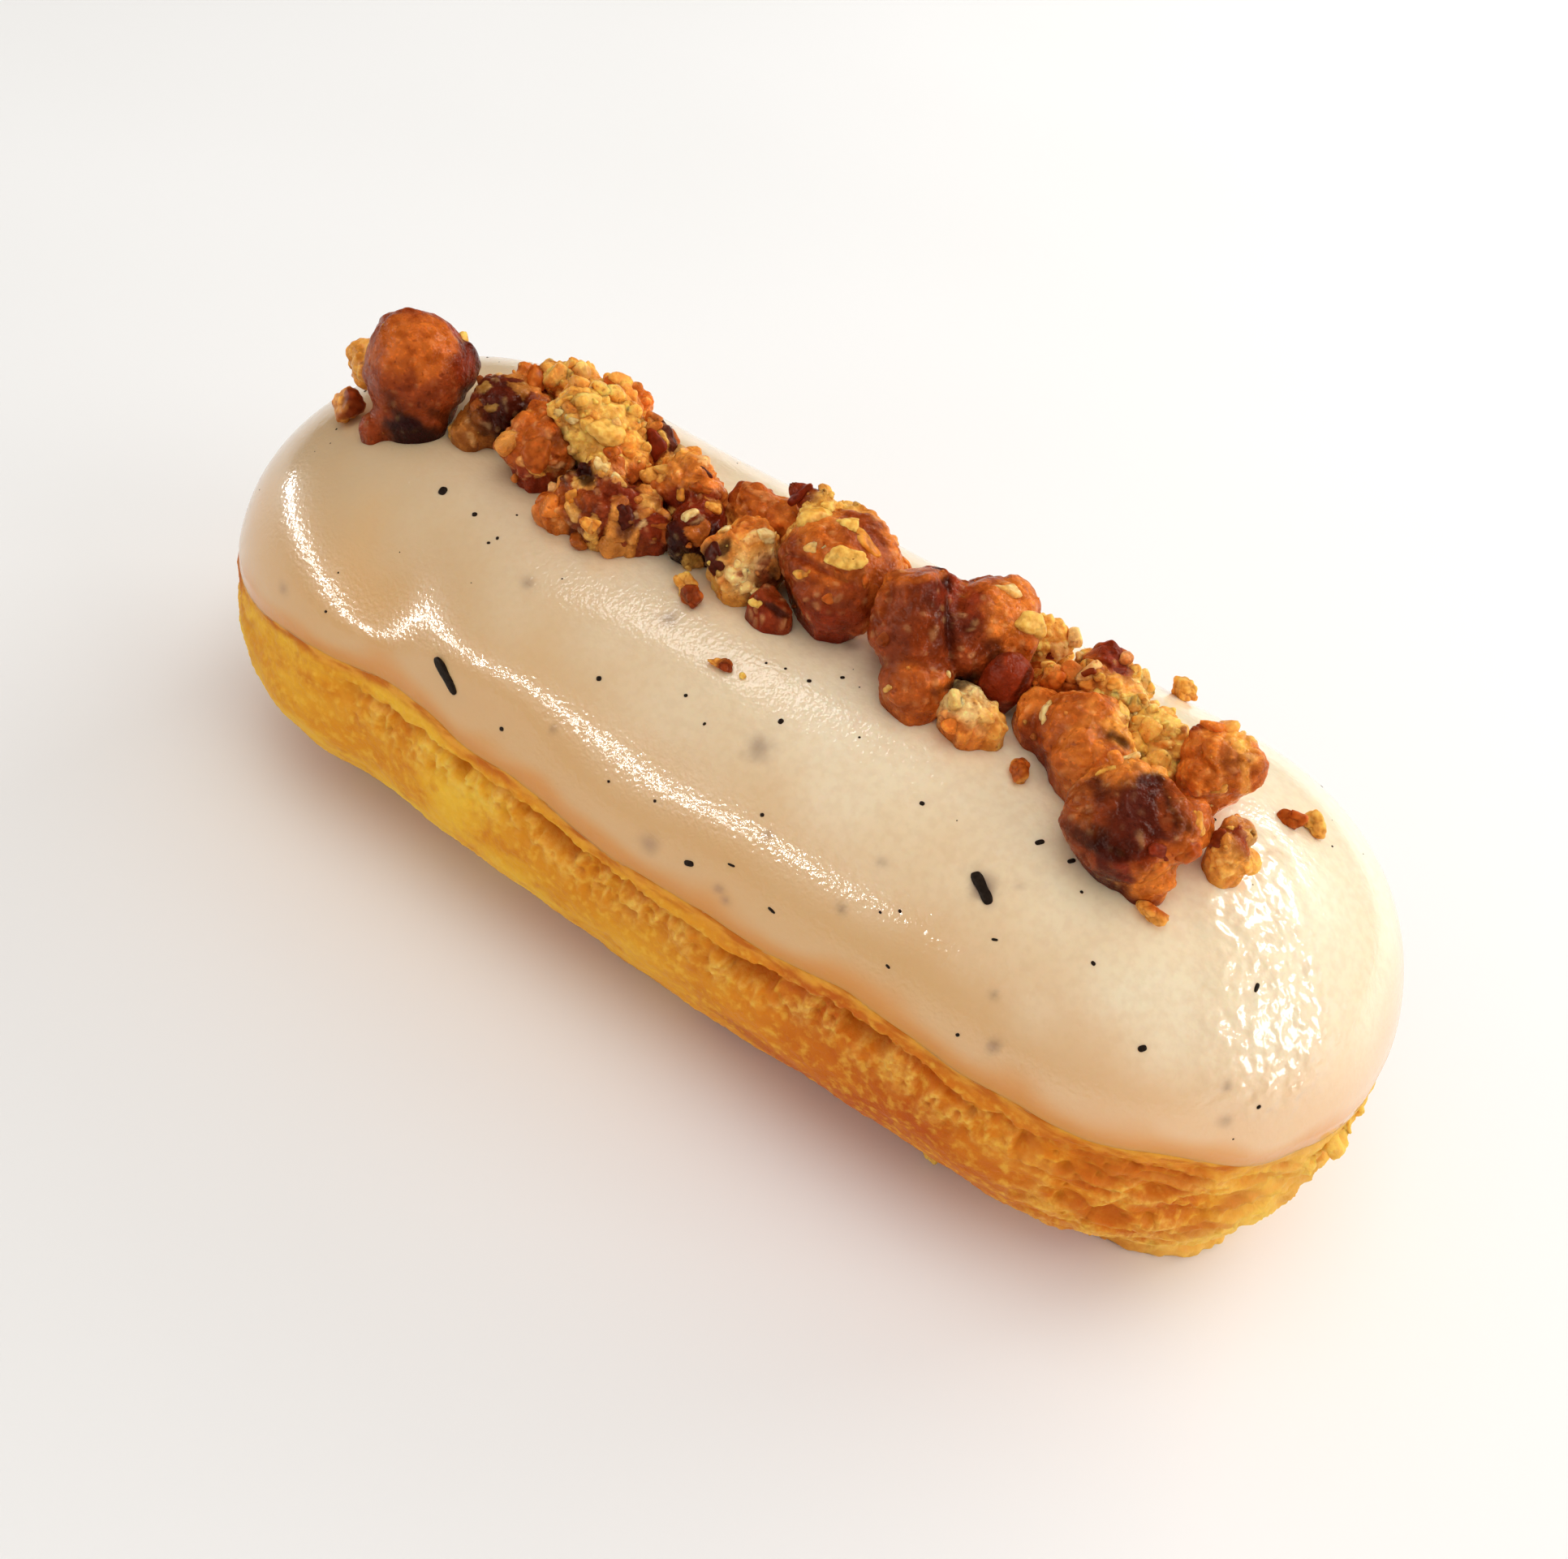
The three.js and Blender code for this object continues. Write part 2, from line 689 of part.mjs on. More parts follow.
// Each piece is cut by the glaze it rests on, by the loose crumbs and by the pieces before it.
function nutMeshes() {
  let taken = solidOf(restingCutter()).add(looseCrumbs(GAP));
  return NUTS.map((nut) => {
    const solid = nutSolid(nut, 0).subtract(taken);
    taken = taken.add(nutSolid(nut, GAP));
    return mesh(nut.name, geometryOf(solid), NUT_MATERIALS[nut.look]);
  });
}

const eclair = new THREE.Group();
eclair.add(shellMesh(), glazeMesh(), ...nutMeshes());

export default eclair;
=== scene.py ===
# The looks of a mini vanilla eclair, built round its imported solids: a choux shell with a torn
# crevice, a glossy vanilla glaze, and a row of candied nut pieces with their crumbs.
# Lengths are millimetres in the part's own frame, and meshes are made in metres.

import json
import math

import bmesh
import bpy
import numpy as np
from mathutils import Matrix, Quaternion, Vector
from mathutils.bvhtree import BVHTree


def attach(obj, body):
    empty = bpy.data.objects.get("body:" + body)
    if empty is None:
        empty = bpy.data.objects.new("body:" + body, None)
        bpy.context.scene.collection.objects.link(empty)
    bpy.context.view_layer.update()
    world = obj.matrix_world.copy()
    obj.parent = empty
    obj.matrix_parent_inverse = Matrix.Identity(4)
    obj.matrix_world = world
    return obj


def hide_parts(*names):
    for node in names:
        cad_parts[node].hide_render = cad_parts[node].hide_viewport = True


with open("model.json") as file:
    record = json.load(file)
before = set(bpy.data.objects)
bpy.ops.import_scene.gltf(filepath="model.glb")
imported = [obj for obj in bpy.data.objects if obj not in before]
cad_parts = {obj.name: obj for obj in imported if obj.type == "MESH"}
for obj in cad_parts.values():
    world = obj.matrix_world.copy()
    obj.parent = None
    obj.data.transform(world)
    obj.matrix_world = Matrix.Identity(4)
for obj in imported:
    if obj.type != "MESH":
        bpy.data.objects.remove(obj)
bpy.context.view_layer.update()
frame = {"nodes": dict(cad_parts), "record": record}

MM = 0.001
TAU = 2 * math.pi

# The body's driving sizes, as the solids have them. A pair is where something starts and ends.
LENGTH = 78.0
WIDTH = 31.8
HALF = WIDTH / 2
HEIGHT = 24.5
BULGE_HEIGHT = 9.2
BASE_INSET = 5.3
BASE_INSET_RIGHT = 2.5
BASE_POWER = 1.6
RIGHT_FOOT = (32.0, 39.5)
SWELL_X = 2.0
SWELL_DEPTH = 1.4
SWELL_REACH = {"left": 21.0, "right": 20.0}
DOME_POWER = 2.5
END_POWER = 2.12
SPINE = LENGTH / 2 - HALF
WAIST_X = -19.5
WAIST_DEPTH = 0.5
WAIST_REACH = 3.6
RIM_HEIGHT = 14.5
RIM_SWING = 0.45
RIM_WAVELENGTH = 37.0
RIM_LOW_X = 1.5
RIM_FAR_PHASE = 1.9
RIM_RIPPLE = 0.15
RIM_BENDS = [(-33.0, 5.0, -0.3), (-15.0, 9.0, 0.3), (22.5, 4.5, -0.35), (32.0, 5.0, 0.65)]
RIM_BENDS_SIDE = (4.0, -8.0)
RIM_WOBBLE = 0.12
GLAZE_THICKNESS = 1.3
WAVE_HEIGHT = 0.14
WAVE_SIZE = 19.0
RIM_BLEND = 0.9
SHELL_LUMP_HEIGHT = 0.13
SHELL_LUMP_SIZE = 7.0
TEAR_DEPTH = 1.7
TEAR_BELOW_RIM = 1.65
TEAR_SPANS = {"near": (-20.0, 25.0), "far": (-25.0, 19.0)}
TEAR_FADE = 6.0
TUCK_UNDER_RIM = 0.12
TUCK_REACH = 0.4
EDGE_LAP = 0.06
FOOT_FLANGE = 0.4
FOOT_HEIGHT = 1.4

# The gap between shell and glaze, and how far above the rim their hidden faces start.
LAYER_GAP = 0.02
HIDDEN_START = {"choux": 0.1, "glaze": 0.2}

# Mesh fineness: steps of the body's meshes, the voxels of the nuts, and the lengths up to which a
# lump or a speck needs no fine mesh.
CHOUX_STEPS = {"end": 290, "spine": 250, "up": 84}
GLAZE_STEPS = {"end": 216, "spine": 190, "up": 86, "edge": 10, "inner": 4}
SMALL_LUMP = 1.0
SMALL_SPECK = 0.35
NUT_VOXEL = 0.12

# How far the nuts' surface stands out of the solids, and how far their feet go into the glaze.
NUT_GROW = 0.1
NUT_FOOT_SINK = 0.75

# The brightest that a colour of nut and crumb gets.
TINT_LIMIT = 0.88

# Seeds of what is placed at random.
SEEDS = {"nut_bits": 77, "stuck_lumps": 19, "loose_crumbs": 5, "specks": 12, "scraps": 31}

# The camera that took the photo, in the part's frame.
CAMERA_PLACE = (30.92, -65.12, 78.34)
CAMERA_AZIMUTH = 24.91
CAMERA_ELEVATION = 43.59
CAMERA_ROLL = 13.5
CAMERA_LENS = 36.71
SENSOR_WIDTH = 36
PICTURE = {"width": 1932, "height": 1921}


# Numbers and noise.

def ease(start, end, value):
    """Eases from 0 at start to 1 at end, which may lie below start."""
    share = np.clip((value - start) / (end - start), 0, 1)
    return share * share * (3 - 2 * share)


def bell(value):
    return np.exp(-np.square(value))


def blend(first, second, share):
    return first * (1 - share) + second * share


def srgb(red, green, blue):
    """A colour given as 0 to 255 in sRGB, as linear numbers."""
    share = np.array([red, green, blue]) / 255
    return np.where(share <= 0.04045, share / 12.92, ((share + 0.055) / 1.055) ** 2.4)


def cell_random(cell, seed):
    """A repeatable number from 0 to 1 for each whole-number cell."""
    key = cell.astype(np.int64) @ np.array([73856093, 19349663, 83492791]) + 2654435761 * seed
    key &= 0xFFFFFFFF
    for shift, factor in ((16, 0x7FEB352D), (15, 0x846CA68B)):
        key = ((key ^ (key >> shift)) * factor) & 0xFFFFFFFF
    return (key ^ (key >> 16)) / 0xFFFFFFFF


NOISE_TURN = np.array(Matrix.Rotation(0.7, 3, Vector((1, 2, 3))) @ Matrix.Rotation(0.4, 3, "X"))


def noise(points, size, seed):
    """Smooth noise, about -1 to 1, with features of that size."""
    scaled = points @ NOISE_TURN / size
    base = np.floor(scaled)
    part = scaled - base
    part = part ** 3 * (part * (part * 6 - 15) + 10)
    total = np.zeros(len(points))
    for corner in np.ndindex(2, 2, 2):
        weight = np.prod(np.where(corner, part, 1 - part), axis=1)
        total += weight * cell_random(base + corner, seed)
    return 2 * total - 1


def fractal(points, size, seed, octaves=3):
    """Noise with finer and weaker noise on top."""
    total = np.zeros(len(points))
    for octave in range(octaves):
        total += noise(points, size / 2 ** octave, seed + octave) / 2 ** octave
    return total / (2 - 2 ** (1 - octaves))


def ridges(points, size, seed):
    """Noise with sharp crests, from -1 to 1."""
    return 1 - 2 * np.abs(noise(points, size, seed)) / 0.6


def cells(points, size, seed):
    """Distance to the nearest scattered point in sizes, to the second nearest, and a random
    number that is the same all over the nearest one's cell."""
    scaled = points @ NOISE_TURN / size
    base = np.floor(scaled)
    nearest = np.full(len(points), 9.0)
    second = np.full(len(points), 9.0)
    value = np.zeros(len(points))
    for offset in np.ndindex(3, 3, 3):
        cell = base + offset - 1
        jitter = np.stack([cell_random(cell, seed + axis) for axis in range(3)], axis=1)
        distance = np.linalg.norm(scaled - cell - 0.1 - 0.8 * jitter, axis=1)
        closer = distance < nearest
        second = np.where(closer, nearest, np.minimum(second, distance))
        value = np.where(closer, cell_random(cell, seed + 3), value)
        nearest = np.minimum(nearest, distance)
    return nearest, second, value


def lumps(x, y, z, size, seed):
    """The solids' own smooth lumps, about -1 to 1."""
    k = TAU / size
    first = np.sin(k * (x + 0.6 * y) + seed) * np.cos(k * (z - 0.4 * x) + 1.7 * seed)
    second = np.sin(k * (1.3 * y - 0.7 * z + 0.3 * x) + 2.3 * seed)
    return (first + 0.6 * second) / 1.6


# The body that shell and glaze share.

def base_inset(x):
    """How far the base edge lies inside the widest line, along the eclair."""
    reach = np.where(x < SWELL_X, SWELL_REACH["left"], SWELL_REACH["right"])
    away = np.clip((x - SWELL_X) / reach, -2, 2)
    inset = BASE_INSET + SWELL_DEPTH * (1 - np.cos(math.pi * away)) / 2
    return inset + (BASE_INSET_RIGHT - inset) * ease(*RIGHT_FOOT, x)


def half_width(x, z, inset):
    """Half the width at a height, with the surface moved in by inset."""
    low = np.clip(1 - z / BULGE_HEIGHT, 0, 1)
    rise = np.clip((z - BULGE_HEIGHT) / (HEIGHT - inset - BULGE_HEIGHT), 0, 1)
    below = HALF - inset - base_inset(x) * low ** BASE_POWER
    above = (HALF - inset) * (1 - rise ** DOME_POWER) ** (1 / DOME_POWER)
    return np.where(z <= BULGE_HEIGHT, below, above)


def dome_point(angle, inset):
    """The dome's half width and height at an angle above its widest line."""
    across = np.clip(np.cos(angle), 0, 1) ** (2 / DOME_POWER)
    up = np.sin(angle) ** (2 / DOME_POWER)
    return (HALF - inset) * across, BULGE_HEIGHT + (HEIGHT - inset - BULGE_HEIGHT) * up


def dome_angle(z, inset):
    rise = (z - BULGE_HEIGHT) / (HEIGHT - inset - BULGE_HEIGHT)
    return np.arcsin(rise ** (DOME_POWER / 2))


def waist(x, y):
    """How far the waist draws the surface in."""
    return WAIST_DEPTH * bell((x - WAIST_X) / WAIST_REACH) * ease(2, -HALF, y)


def rim_height(x, y):
    """The height of the dipped edge, which wanders round the eclair."""
    phase = RIM_FAR_PHASE * ease(-WIDTH / 3, WIDTH / 3, y)
    swing = -np.cos(TAU * (x - RIM_LOW_X) / RIM_WAVELENGTH + phase)
    bends = sum(rise * bell((x - place) / reach) for place, reach, rise in RIM_BENDS)
    ripple = np.sin(0.62 * x + 0.5 * y + 1.1)
    wobble = noise(np.stack([x, y, 0 * x], axis=1), 2.0, 55)
    edge = RIM_HEIGHT + RIM_SWING * swing + RIM_RIPPLE * ripple + RIM_WOBBLE * wobble
    return edge + ease(*RIM_BENDS_SIDE, y) * bends


def crown_height(x, y):
    """The height of the glaze's outer face over a point of the plan."""
    past = np.maximum(0, np.abs(x) - SPINE)
    out = (past ** END_POWER + np.abs(y) ** END_POWER) ** (1 / END_POWER)
    share = np.minimum(1, out / HALF)
    return BULGE_HEIGHT + (HEIGHT - BULGE_HEIGHT) * (1 - share ** DOME_POWER) ** (1 / DOME_POWER)


class Plan:
    """Stations round the eclair's outline, each with its spine point and its direction out."""

    def __init__(self, end_steps, spine_steps):
        angle = math.pi * (np.arange(end_steps + 1) / end_steps - 0.5)
        turn = np.stack([np.cos(angle), np.sin(angle)], axis=1)
        turn = np.sign(turn) * np.abs(turn) ** (2 / END_POWER)
        middle = np.arange(1, spine_steps)
        far = np.tile([0.0, 1.0], (len(middle), 1))
        right_end = np.full(len(turn), spine_steps)
        self.spine_steps = spine_steps
        self.index = np.concatenate([right_end, middle[::-1], 0 * right_end, middle])
        self.out = np.concatenate([turn, far, -turn, -far])
        self.spine_x = SPINE * (2 * self.index / spine_steps - 1)
        self.edge_x = self.spine_x + HALF * self.out[:, 0]
        self.edge_y = HALF * self.out[:, 1]

    def rings(self, r, z, relief=0.0):
        """Points of one or more rings, with relief moving the surface in."""
        reach = r * (1 - waist(self.edge_x, self.edge_y) / HALF) - relief
        z = np.broadcast_to(z, reach.shape)
        return np.stack([self.spine_x + self.out[:, 0] * reach, self.out[:, 1] * reach, z], axis=-1)

    def dome_rings(self, start_z, inset, shares, swell=None):
        """Rings up the dome, from a height to the crown, that swell by a given function."""
        start = dome_angle(start_z, inset)
        rings = []
        for share in shares:
            r, z = dome_point(start + (math.pi / 2 - start) * share, inset)
            relief = -swell(self.rings(r, z), share) if swell else 0.0
            rings.append(self.rings(r, z, relief))
        return rings

    def loft(self, rings, low_z, high_z):
        """Points and faces of a closed surface, shut below and above along the spine."""
        line = SPINE * (2 * np.arange(self.spine_steps + 1) / self.spine_steps - 1)
        first = np.stack([line, 0 * line, 0 * line + low_z], axis=1)
        last = np.stack([line, 0 * line, 0 * line + high_z], axis=1)
        count = len(self.index)
        here = np.arange(count)
        there = (here + 1) % count
        start = len(line)
        faces = []
        for level in range(len(rings) - 1):
            low = start + level * count
            high = low + count
            faces += np.stack([low + here, low + there, high + there, high + here], axis=1).tolist()
        top = start + (len(rings) - 1) * count
        end = top + count
        for a, b in zip(here.tolist(), there.tolist()):
            low_a, low_b = int(self.index[a]), int(self.index[b])
            below = [low_a, low_b, start + b, start + a]
            above = [top + a, top + b, end + low_b, end + low_a]
            faces.append(below if low_a != low_b else below[1:])
            faces.append(above if low_a != low_b else above[:3])
        return np.concatenate([first, rings.reshape(-1, 3), last]), faces


# Making pieces.

def add_object(name, data):
    made = bpy.data.objects.new(name, data)
    bpy.context.scene.collection.objects.link(made)
    return made


def place_piece(name, mesh, material):
    """A smooth-shaded piece that rides on the body."""
    mesh.polygons.foreach_set("use_smooth", [True] * len(mesh.polygons))
    mesh.materials.append(material)
    mesh.update()
    piece = add_object(name, mesh)
    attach(piece, "root")
    return piece


def make_piece(name, points, faces, material, slot, masks=None, tint=None):
    """A piece made from points and faces, with per-point masks and colours."""
    mesh = bpy.data.meshes.new(name)
    mesh.from_pydata((points * MM).tolist(), [], faces)
    for key, values in (masks or {}).items():
        layer = mesh.attributes.new(key, "FLOAT", "POINT")
        layer.data.foreach_set("value", values.astype(np.float32))
    if tint is not None:
        add_tint(mesh, tint)
    return place_piece(name, mesh, material)


class Heap:
    """Small solids that are joined into one piece, with a value or colour for each point."""

    def __init__(self):
        self.points, self.faces, self.values = [], [], []

    def add(self, points, faces, values=None):
        self.faces += (faces + sum(len(p) for p in self.points)).tolist()
        self.points.append(points)
        self.values.append(values)

    def joined(self):
        return np.concatenate(self.points), self.faces


def add_tint(mesh, tint):
    """Gives each point a colour, never brighter than TINT_LIMIT, which would change its hue."""
    tint = np.maximum(tint, 0.003)
    tint = tint / np.maximum(1, tint.max(axis=1, keepdims=True) / TINT_LIMIT)
    layer = mesh.attributes.new("tint", "FLOAT_COLOR", "POINT")
    colours = np.concatenate([tint, np.ones((len(tint), 1))], axis=1)
    layer.data.foreach_set("color", colours.astype(np.float32).ravel())


def read(items, key, width=1, kind=np.float32):
    """One property of all of a mesh's points, corners or faces, as an array."""
    values = np.zeros(width * len(items), kind)
    items.foreach_get(key, values)
    values = values.reshape(-1, width) if width > 1 else values
    return values.astype(float) if kind == np.float32 else values


def point_tint(mesh):
    return read(mesh.attributes["tint"].data, "color", 4)[:, :3]


def mesh_points(mesh):
    return read(mesh.vertices, "co", 3) / MM


def move_points(mesh, points):
    mesh.vertices.foreach_set("co", (points * MM).astype(np.float32).ravel())


# Building materials.

def new_material(name):
    material = bpy.data.materials.new(name)
    material.use_nodes = True
    return material, material.node_tree, material.node_tree.nodes["Principled BSDF"]


def connect(tree, value, socket):
    """Gives a socket a value, or a link from another socket."""
    if isinstance(value, bpy.types.NodeSocket):
        tree.links.new(value, socket)
    else:
        socket.default_value = value


def node(tree, kind, inputs=None, **settings):
    """Adds a node, with its settings and with its inputs as values or links."""
    made = tree.nodes.new(kind)
    for key, value in settings.items():
        setattr(made, key, value)
    for key, value in (inputs or {}).items():
        connect(tree, value, made.inputs[key])
    return made


def mask(tree, key):
    return node(tree, "ShaderNodeAttribute", attribute_name=key).outputs["Fac"]


def object_noise(tree, size, detail=2.0, stretch=(1, 1, 1), roughness=0.5):
    """Noise from 0 to 1 in the object's own space, with features of that size."""
    place = node(tree, "ShaderNodeTexCoord").outputs["Object"]
    scaled = node(tree, "ShaderNodeMapping", {"Vector": place, "Scale": stretch})
    made = node(tree, "ShaderNodeTexNoise", {
        "Vector": scaled.outputs["Vector"],
        "Scale": 1 / (size * MM),
        "Detail": detail,
        "Roughness": roughness,
    })
    return made.outputs["Fac"]


def remap(tree, value, low, high, to_low=0.0, to_high=1.0):
    """Smoothly maps low to high onto to_low to to_high."""
    made = node(tree, "ShaderNodeMapRange", {
        "Value": value,
        "From Min": low,
        "From Max": high,
        "To Min": to_low,
        "To Max": to_high,
    }, interpolation_type="SMOOTHSTEP")
    return made.outputs["Result"]


def mix(tree, share, first, second, blend="MIX"):
    made = node(tree, "ShaderNodeMix", data_type="RGBA", blend_type=blend)
    for key, value in (("Factor_Float", share), ("A_Color", first), ("B_Color", second)):
        value = (*value, 1.0) if isinstance(value, (tuple, np.ndarray)) else value
        connect(tree, value, next(s for s in made.inputs if s.identifier == key))
    return next(s for s in made.outputs if s.identifier == "Result_Color")


def layered(tree, colour, layers):
    """A colour with others laid over it, each with its share."""
    for share, layer in layers:
        colour = mix(tree, share, colour, layer)
    return colour


def dyed(tree, colour, factors):
    """A colour multiplied by factors for red, green and blue."""
    return mix(tree, 1.0, colour, factors, "MULTIPLY")


def own_colour(tree, share, dark, light):
    """The piece's own colours, dyed from dark to light as share says."""
    own = node(tree, "ShaderNodeAttribute", attribute_name="tint").outputs["Color"]
    return mix(tree, share, dyed(tree, own, dark), dyed(tree, own, light))


def multiply(tree, first, second):
    made = node(tree, "ShaderNodeMath", {0: first, 1: second}, operation="MULTIPLY")
    return made.outputs["Value"]


def bump(tree, height, depth, strength=1.0, under=None):
    """A bump of that many millimetres for a height from 0 to 1, over another bump."""
    inputs = {"Height": height, "Distance": depth * MM, "Strength": strength}
    if under is not None:
        inputs["Normal"] = under
    return node(tree, "ShaderNodeBump", inputs).outputs["Normal"]


def set_shader(shader, **values):
    """Gives the shader's sockets values or links. Underscores in a name stand for spaces."""
    for key, value in values.items():
        connect(shader.id_data, value, shader.inputs[key.replace("_", " ")])


def subsurface(shader, weight, radius):
    """Light that wanders under the surface, with its reach for red, green and blue in mm."""
    set_shader(shader, Subsurface_Weight=weight, Subsurface_Scale=MM, Subsurface_Radius=radius)


# The tint of what caramel and crumb mirror.
WARM_GLEAM = (1.0, 0.86, 0.72, 1.0)


def choux_material():
    material, tree, shader = new_material("choux_skin")
    blotch = remap(tree, object_noise(tree, 6.0, 3.0, stretch=(0.6, 1, 1.2)), 0.36, 0.64)
    yellow = mix(tree, blotch, srgb(232, 151, 30), srgb(252, 196, 56))
    baked = mix(tree, blotch, srgb(196, 90, 14), srgb(228, 132, 24))
    patch = object_noise(tree, 1.8, 4.0, roughness=0.6)
    fine = object_noise(tree, 0.55, 3.0)
    speckle = remap(tree, object_noise(tree, 0.3), 0.3, 0.7, 0.35, 1.0)
    streak = remap(tree, object_noise(tree, 0.9, 3.0, stretch=(0.4, 0.4, 1.6)), 0.36, 0.62)
    colour = layered(tree, mix(tree, mask(tree, "baked"), yellow, baked), [
        (remap(tree, patch, 0.5, 0.72, 0.0, 0.55), srgb(212, 112, 14)),
        (remap(tree, fine, 0.45, 0.75, 0.0, 0.5), srgb(255, 202, 80)),
        (multiply(tree, mask(tree, "crumb"), speckle), srgb(255, 206, 98)),
        (mask(tree, "edge"), mix(tree, streak, srgb(206, 108, 22), srgb(240, 162, 56))),
        (mask(tree, "brown"), srgb(202, 100, 16)),
        # Painted shade: darker orange in the tear's pockets and the pores.
        (mask(tree, "hollow_shade"), srgb(212, 122, 18)),
        (mask(tree, "bare_end"), srgb(250, 196, 96)),
    ])
    rough = remap(tree, fine, 0.3, 0.7, 0.48, 0.75)
    grain = bump(tree, object_noise(tree, 0.2, 3.0, roughness=0.6), 0.06)
    pitted = bump(tree, patch, 0.16, under=bump(tree, fine, 0.1, under=grain))
    set_shader(shader, Base_Color=colour, Roughness=rough, Normal=pitted, Specular_IOR_Level=0.12)
    subsurface(shader, 0.4, (0.9, 0.5, 0.12))
    return material


def glaze_material():
    material, tree, shader = new_material("vanilla_glaze_gloss")
    cloud = remap(tree, object_noise(tree, 9.0), 0.3, 0.7)
    tan = mix(tree, cloud, srgb(206, 174, 131), srgb(215, 185, 143))
    cream = mix(tree, cloud, srgb(249, 226, 188), srgb(255, 236, 203))
    fine = remap(tree, object_noise(tree, 0.5, 3.0), 0.35, 0.7, 0.0, 0.2)
    slope = mix(tree, mask(tree, "right"), srgb(224, 175, 112), srgb(234, 188, 136))
    # Painted shade: tan towards the left, cream towards the right, where light falls.
    colour = layered(tree, mix(tree, mask(tree, "light"), tan, cream), [
        (fine, srgb(214, 180, 138)),
        (mask(tree, "slope"), slope),
        (mask(tree, "thin"), srgb(224, 144, 34)),
        (mask(tree, "sunk"), srgb(118, 78, 68)),
    ])
    frosted = bump(tree, object_noise(tree, 0.28, 1.5), 0.022)
    grainy = multiply(tree, mask(tree, "grainy"), object_noise(tree, 1.05, 1.3))
    rippled = bump(tree, grainy, 0.42, under=frosted)
    set_shader(shader, Base_Color=colour, Roughness=0.32, Normal=rippled, Coat_Normal=rippled)
    set_shader(shader, Specular_IOR_Level=0.45, Coat_Weight=0.8, Coat_Roughness=0.06)
    subsurface(shader, 0.45, (0.8, 0.5, 0.3))
    return material


def nut_material(name, roughness, coat, scattering):
    material, tree, shader = new_material(name)
    mottle = object_noise(tree, 0.8, 4.0)
    light = remap(tree, mottle, 0.3, 0.66)
    colour = own_colour(tree, light, (0.78, 0.62, 0.42), (1.2, 1.2, 1.16))
    specks = remap(tree, object_noise(tree, 0.34, 1.0), 0.66, 0.74, 0.0, 0.5)
    colour = mix(tree, specks, colour, dyed(tree, colour, (0.4, 0.2, 0.1)))
    # Light specks of sugar, which also stand in for glints as painted highlights.
    sugar = remap(tree, object_noise(tree, 0.26), 0.52, 0.7, 0.0, 0.7)
    colour = mix(tree, sugar, colour, dyed(tree, colour, (1.45, 1.5, 1.45)))
    patchy = object_noise(tree, 1.1)
    rough = remap(tree, patchy, 0.3, 0.7, roughness - 0.1, roughness + 0.1)
    grain = bump(tree, object_noise(tree, 0.2, 3.0), 0.06)
    surface = bump(tree, mottle, 0.12, under=grain)
    set_shader(shader, Base_Color=colour, Roughness=rough, Normal=surface, Coat_Normal=surface)
    set_shader(shader, Specular_IOR_Level=0.1, Specular_Tint=WARM_GLEAM)
    set_shader(shader, Coat_Weight=coat, Coat_Roughness=0.12)
    subsurface(shader, scattering, (0.5, 0.42, 0.32))
    return material


def grain_material(name, roughness, scattering):
    material, tree, shader = new_material(name)
    cloudy = object_noise(tree, 0.35, 3.0)
    light = remap(tree, cloudy, 0.3, 0.7)
    colour = own_colour(tree, light, (0.86, 0.7, 0.48), (1.14, 1.16, 1.14))
    set_shader(shader, Base_Color=colour, Roughness=roughness, Normal=bump(tree, cloudy, 0.05))
    set_shader(shader, Specular_IOR_Level=0.12, Specular_Tint=WARM_GLEAM)
    subsurface(shader, scattering, (0.4, 0.36, 0.3))
    return material


def pod_material():
    material, tree, shader = new_material("vanilla_pod_black")
    grain = object_noise(tree, 0.2)
    colour = mix(tree, grain, srgb(16, 11, 8), srgb(48, 36, 27))
    set_shader(shader, Base_Color=colour, Roughness=0.4, Normal=bump(tree, grain, 0.05))
    set_shader(shader, Specular_IOR_Level=0.1, Specular_Tint=WARM_GLEAM)
    return material


# What the camera sees.

def camera_axes():
    """The camera's right, up and forward directions."""
    azimuth, elevation, roll = (
        math.radians(v) for v in (CAMERA_AZIMUTH, CAMERA_ELEVATION, CAMERA_ROLL)
    )
    ahead = Vector((
        -math.sin(azimuth) * math.cos(elevation),
        math.cos(azimuth) * math.cos(elevation),
        -math.sin(elevation),
    ))
    level = ahead.cross(Vector((0, 0, 1))).normalized()
    upright = level.cross(ahead)
    right = math.cos(roll) * level + math.sin(roll) * upright
    up = -math.sin(roll) * level + math.cos(roll) * upright
    return right, up, ahead


def pixel_ray(px, py):
    """The direction in which the camera sees a pixel of the photo."""
    right, up, ahead = camera_axes()
    focal = CAMERA_LENS / SENSOR_WIDTH * PICTURE["width"]
    across = (px - PICTURE["width"] / 2) / focal
    rise = (PICTURE["height"] / 2 - py) / focal
    return (ahead + across * right + rise * up).normalized()


def picture_line(turn):
    """The direction in space of a line that is turned by that many degrees in the picture."""
    right, up = (np.array(axis) for axis in camera_axes()[:2])
    return math.cos(math.radians(turn)) * right + math.sin(math.radians(turn)) * up


def first_hit(trees, px, py):
    """The nearest of the surfaces that the camera sees at a pixel: its place, normal, face and
    distance, or nothing."""
    hits = [tree.ray_cast(Vector(CAMERA_PLACE), pixel_ray(px, py)) for tree in trees]
    return min((hit for hit in hits if hit[0] is not None), key=lambda hit: hit[3], default=None)


def dome_hit(px, py):
    """Where the camera's ray through a pixel meets the smooth glaze."""
    ray = np.array(pixel_ray(px, py))
    steps = np.arange(40, 160, 0.02)[:, None]
    line = np.array(CAMERA_PLACE) + steps * ray
    inside = line[:, 2] < crown_height(line[:, 0], line[:, 1])
    return line[np.argmax(inside)]


def distance_from(points, px, py):
    """How far points lie from where the camera sees the smooth glaze at a pixel."""
    return np.linalg.norm(points - dome_hit(px, py), axis=1)


